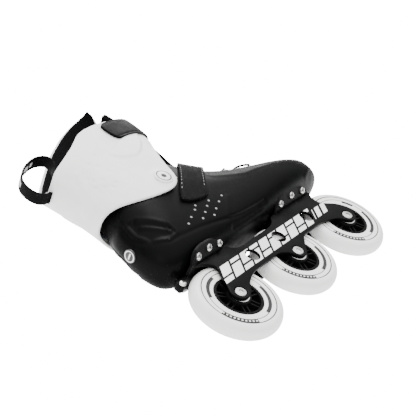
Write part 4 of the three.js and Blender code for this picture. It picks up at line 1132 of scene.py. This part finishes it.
# ---- Cuff rivets ----
# The cuff swings on one rivet each side, fixed in the shell. Each has a broad white moulded cap
# outside the cuff, printed with a plain black ring and dot.
rivet_print, tree, shader = start_material("rivet_print", PRINT_WHITE, 0.3)
add_grain(tree, shader, 0.3, 0.05, 1800, 0.00004)
x, y, z = worn_place(tree)
radius = off_centre(tree, x, z)
ring_mark = within(tree, radius, 8.0, 9.6, PRINT_EDGE)
dot_mark = within(tree, radius, -1.0, 3.4, PRINT_EDGE)
rivet_mark = math_node(tree, "MAXIMUM", ring_mark, dot_mark)
tree.links.new(mix_colour(tree, rivet_mark, PRINT_WHITE, PRINT_BLACK), shader.inputs["Base Color"])
CAP, CAP_FOOT = 11.5, 50.8
for hand, sign in (("right", -1), ("left", 1)):
    rivet = spun([(0.01, sign * 39.5), (4, sign * 39.5), (4, sign * CAP_FOOT), (CAP, sign * CAP_FOOT),
                  (CAP, sign * (CAP_FOOT + 0.9)), (CAP - 0.5, sign * (CAP_FOOT + 1.5)),
                  (CAP - 1.6, sign * (CAP_FOOT + 1.9)), (0.01, sign * (CAP_FOOT + 2))],
                 64, (PIVOT_X, 0, PIVOT_Z))
    finish_piece(f"cuff_rivet_{hand}", rivet, "boot_and_frame", rivet_print, [f"cuff_pivot_{hand}"],
                 hub=(PIVOT_X, 0, PIVOT_Z))

# ---- Straps ----
# The cuff strap is a smooth moulded band with rounded ends; the instep strap is ribbed webbing with a
# line of pale stitching along each edge. Both close with a flap on the right side; the model's flaps are
# hidden, and no flap is drawn in their place.
STRAP_THICKNESS, CUFF_STRAP_WIDTH, CUFF_STRAP_Z = 2.6, 32.0, 310.0
CUFF_STRAP_ENDS, INSTEP_ENDS = (-85.0, 88.0), (-1.0, 1.0)


def end_round(u, ends, reach):
    """Share of the full width that a strap has at u, when its ends are rounded over reach."""
    near = min(u - ends[0], ends[1] - u) / reach
    return 1.0 if near >= 1 else max(0.05, 1 - (1 - near) ** 2.6) ** (1 / 2.6)


def cuff_strap_place(s, t):
    u = CUFF_STRAP_ENDS[0] + s * (CUFF_STRAP_ENDS[1] - CUFF_STRAP_ENDS[0])
    v = (t - 0.5) * 2 * end_round(u, CUFF_STRAP_ENDS, 6.0)
    angle = math.radians(u)
    height = CUFF_STRAP_Z + 5 * math.cos(angle) + v * CUFF_STRAP_WIDTH / 2
    along = cuff_skin(height, angle + 0.03) - cuff_skin(height, angle - 0.03)
    normal = Vector((along.y, -along.x, 0)).normalized()
    crown = 0.35 * (1 - v * v) - 0.5 * bell(abs(v) - 0.84, 0.05)
    return cuff_skin(height, angle) + normal * (0.8 + STRAP_THICKNESS + crown)


strap_black = satin_moulding("strap_black", (0.002, 0.002, 0.0022), 0.42, gloss=0.025)
band = mapped_grid(150, 26, cuff_strap_place)
face_out(band, (-60, 0, 310))
thicken(band, STRAP_THICKNESS, 0.7)
band = finish_piece("cuff_band", band, "cuff", strap_black)
band.parent = None
hinge_from, hinge_to = (cuff_skin(314, math.radians(u)) for u in (-35, -42))
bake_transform(band)
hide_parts("cuff_strap", "cuff_strap_flap")


INSTEP_MIDDLE = Vector((-40, 0, 170))      # inside the boot, to tell outward from inward


def instep_place(s, t):
    """A point of the instep strap's outside; s runs along it from left to right, t across it."""
    u = INSTEP_ENDS[0] + s * (INSTEP_ENDS[1] - INSTEP_ENDS[0])
    v = (t - 0.5) * 2 * end_round(u, INSTEP_ENDS, 0.03)
    reach = abs(u)
    station = 8 + 1.9 * reach + v * (0.9 - 0.05 * reach)
    angle = math.pi * (1 - 0.53 * reach) * (-1 if u < 0 else 1)
    along = boot_skin(station + 0.02, angle) - boot_skin(station - 0.02, angle)
    around = boot_skin(station, angle + 0.03) - boot_skin(station, angle - 0.03)
    lift = 4.2 - 3.0 * min(1, reach * 1.3)
    spot = boot_skin(station, angle)
    normal = around.cross(along).normalized()
    if normal.dot(spot - INSTEP_MIDDLE) < 0:
        normal = -normal
    return spot + normal * (lift + STRAP_THICKNESS - 0.3 * bell(abs(v) - 0.86, 0.04))


instep_webbing = woven_cloth("instep_webbing", (0.002, 0.002, 0.0022), 0.0011, 0.00012, 0.5)
stitch_pale = satin_moulding("stitch_pale", (0.42, 0.42, 0.42), 0.6)
webbing = mapped_grid(150, 26, instep_place)
face_out(webbing, INSTEP_MIDDLE)
thicken(webbing, STRAP_THICKNESS, 0.5)
webbing = finish_piece("instep_band", webbing, "boot_and_frame", instep_webbing)
webbing.parent = None
fold_from, fold_to = (LAY @ instep_place((u + 1) / 2, 0.5) for u in (0.39, 0.47))
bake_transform(webbing)
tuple(fold_from)
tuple(fold_to)
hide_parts("instep_strap", "instep_strap_flap")
stitches = bmesh.new()
# shares of the strap's length and width
STITCHES, FIRST_STITCH, STITCH_PITCH, STITCH_LENGTH, STITCH_ROWS = 44, 0.04, 0.0212, 0.0096, (0.07, 0.93)
for t in STITCH_ROWS:
    for index in range(STITCHES):
        s = FIRST_STITCH + index * STITCH_PITCH
        a, b = instep_place(s, t), instep_place(s + STITCH_LENGTH, t)
        across = instep_place(s, t + 0.01) - a
        out = across.cross(b - a).normalized()
        if out.dot(a - INSTEP_MIDDLE) < 0:
            out = -out
        thread = Matrix((b - a, across.normalized() * 0.8, out * 0.6)).transposed().to_4x4()
        bmesh.ops.create_uvsphere(stitches, u_segments=8, v_segments=6, radius=0.5,
                                  matrix=Matrix.Translation((a + b) / 2 + out * 0.1) @ thread)
stitches = finish_piece("instep_stitching", stitches, "boot_and_frame", stitch_pale)
stitches.parent = None
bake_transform(stitches)
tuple(fold_from)
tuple(fold_to)

# ---- Pull loop ----
# A bow of black webbing sewn over the heel of the cuff's rim, with plain white woven dashes.
PULL_LOOP = [(-171.6, 295), (-174, 297.5), (-181, 298.5), (-187, 304), (-189, 316), (-184, 330), (-170, 342.5),
             (-152, 350), (-136, 352), (-124, 347), (-125, 336), (-137, 321), (-150, 308), (-156.8, 299.5),
             (-156.4, 293)]
PULL_HALF, PULL_THICKNESS = 8.0, 1.6


def loop_place(u, v):
    x, z = along_rows(PULL_LOOP, u * (len(PULL_LOOP) - 1))
    return Vector((x, (v - 0.5) * 2 * PULL_HALF, z))


loop_webbing = woven_cloth("loop_webbing", (0.003, 0.003, 0.0032), 0.0013, 0.0002, 0.6)
tree = loop_webbing.node_tree
shader = tree.nodes["Principled BSDF"]
x, y, z = worn_place(tree)
DASH_REPEAT, DASH_HALF = 5.0, 3.0
run = math_node(tree, "ADD", math_node(tree, "SUBTRACT", z, x), FAR)
beat = math_node(tree, "PINGPONG", run, DASH_REPEAT)
dashes = math_node(tree, "MULTIPLY", within(tree, beat, 1.6, 9.0, 0.2),
                   within(tree, math_node(tree, "ABSOLUTE", y), -1.0, DASH_HALF, 0.2))
dashes = math_node(tree, "MULTIPLY", dashes, within(tree, z, 328.0, 352.0, 0.3))
dashes = math_node(tree, "MULTIPLY", dashes, within(tree, x, -186.0, -142.0, 0.3))
plain = shader.inputs["Base Color"].links[0].from_socket
shade = mix_colour(tree, dashes, plain, (0.8, 0.8, 0.79))
tree.links.new(shade, shader.inputs["Base Color"])
loop = mapped_grid(110, 10, loop_place)
face_out(loop, (-158, 0, 322))
bmesh.ops.reverse_faces(loop, faces=loop.faces)
thicken(loop, PULL_THICKNESS, 0.4)
finish_piece("heel_loop", loop, "cuff", loop_webbing, ["pull_loop"], sharp=50)
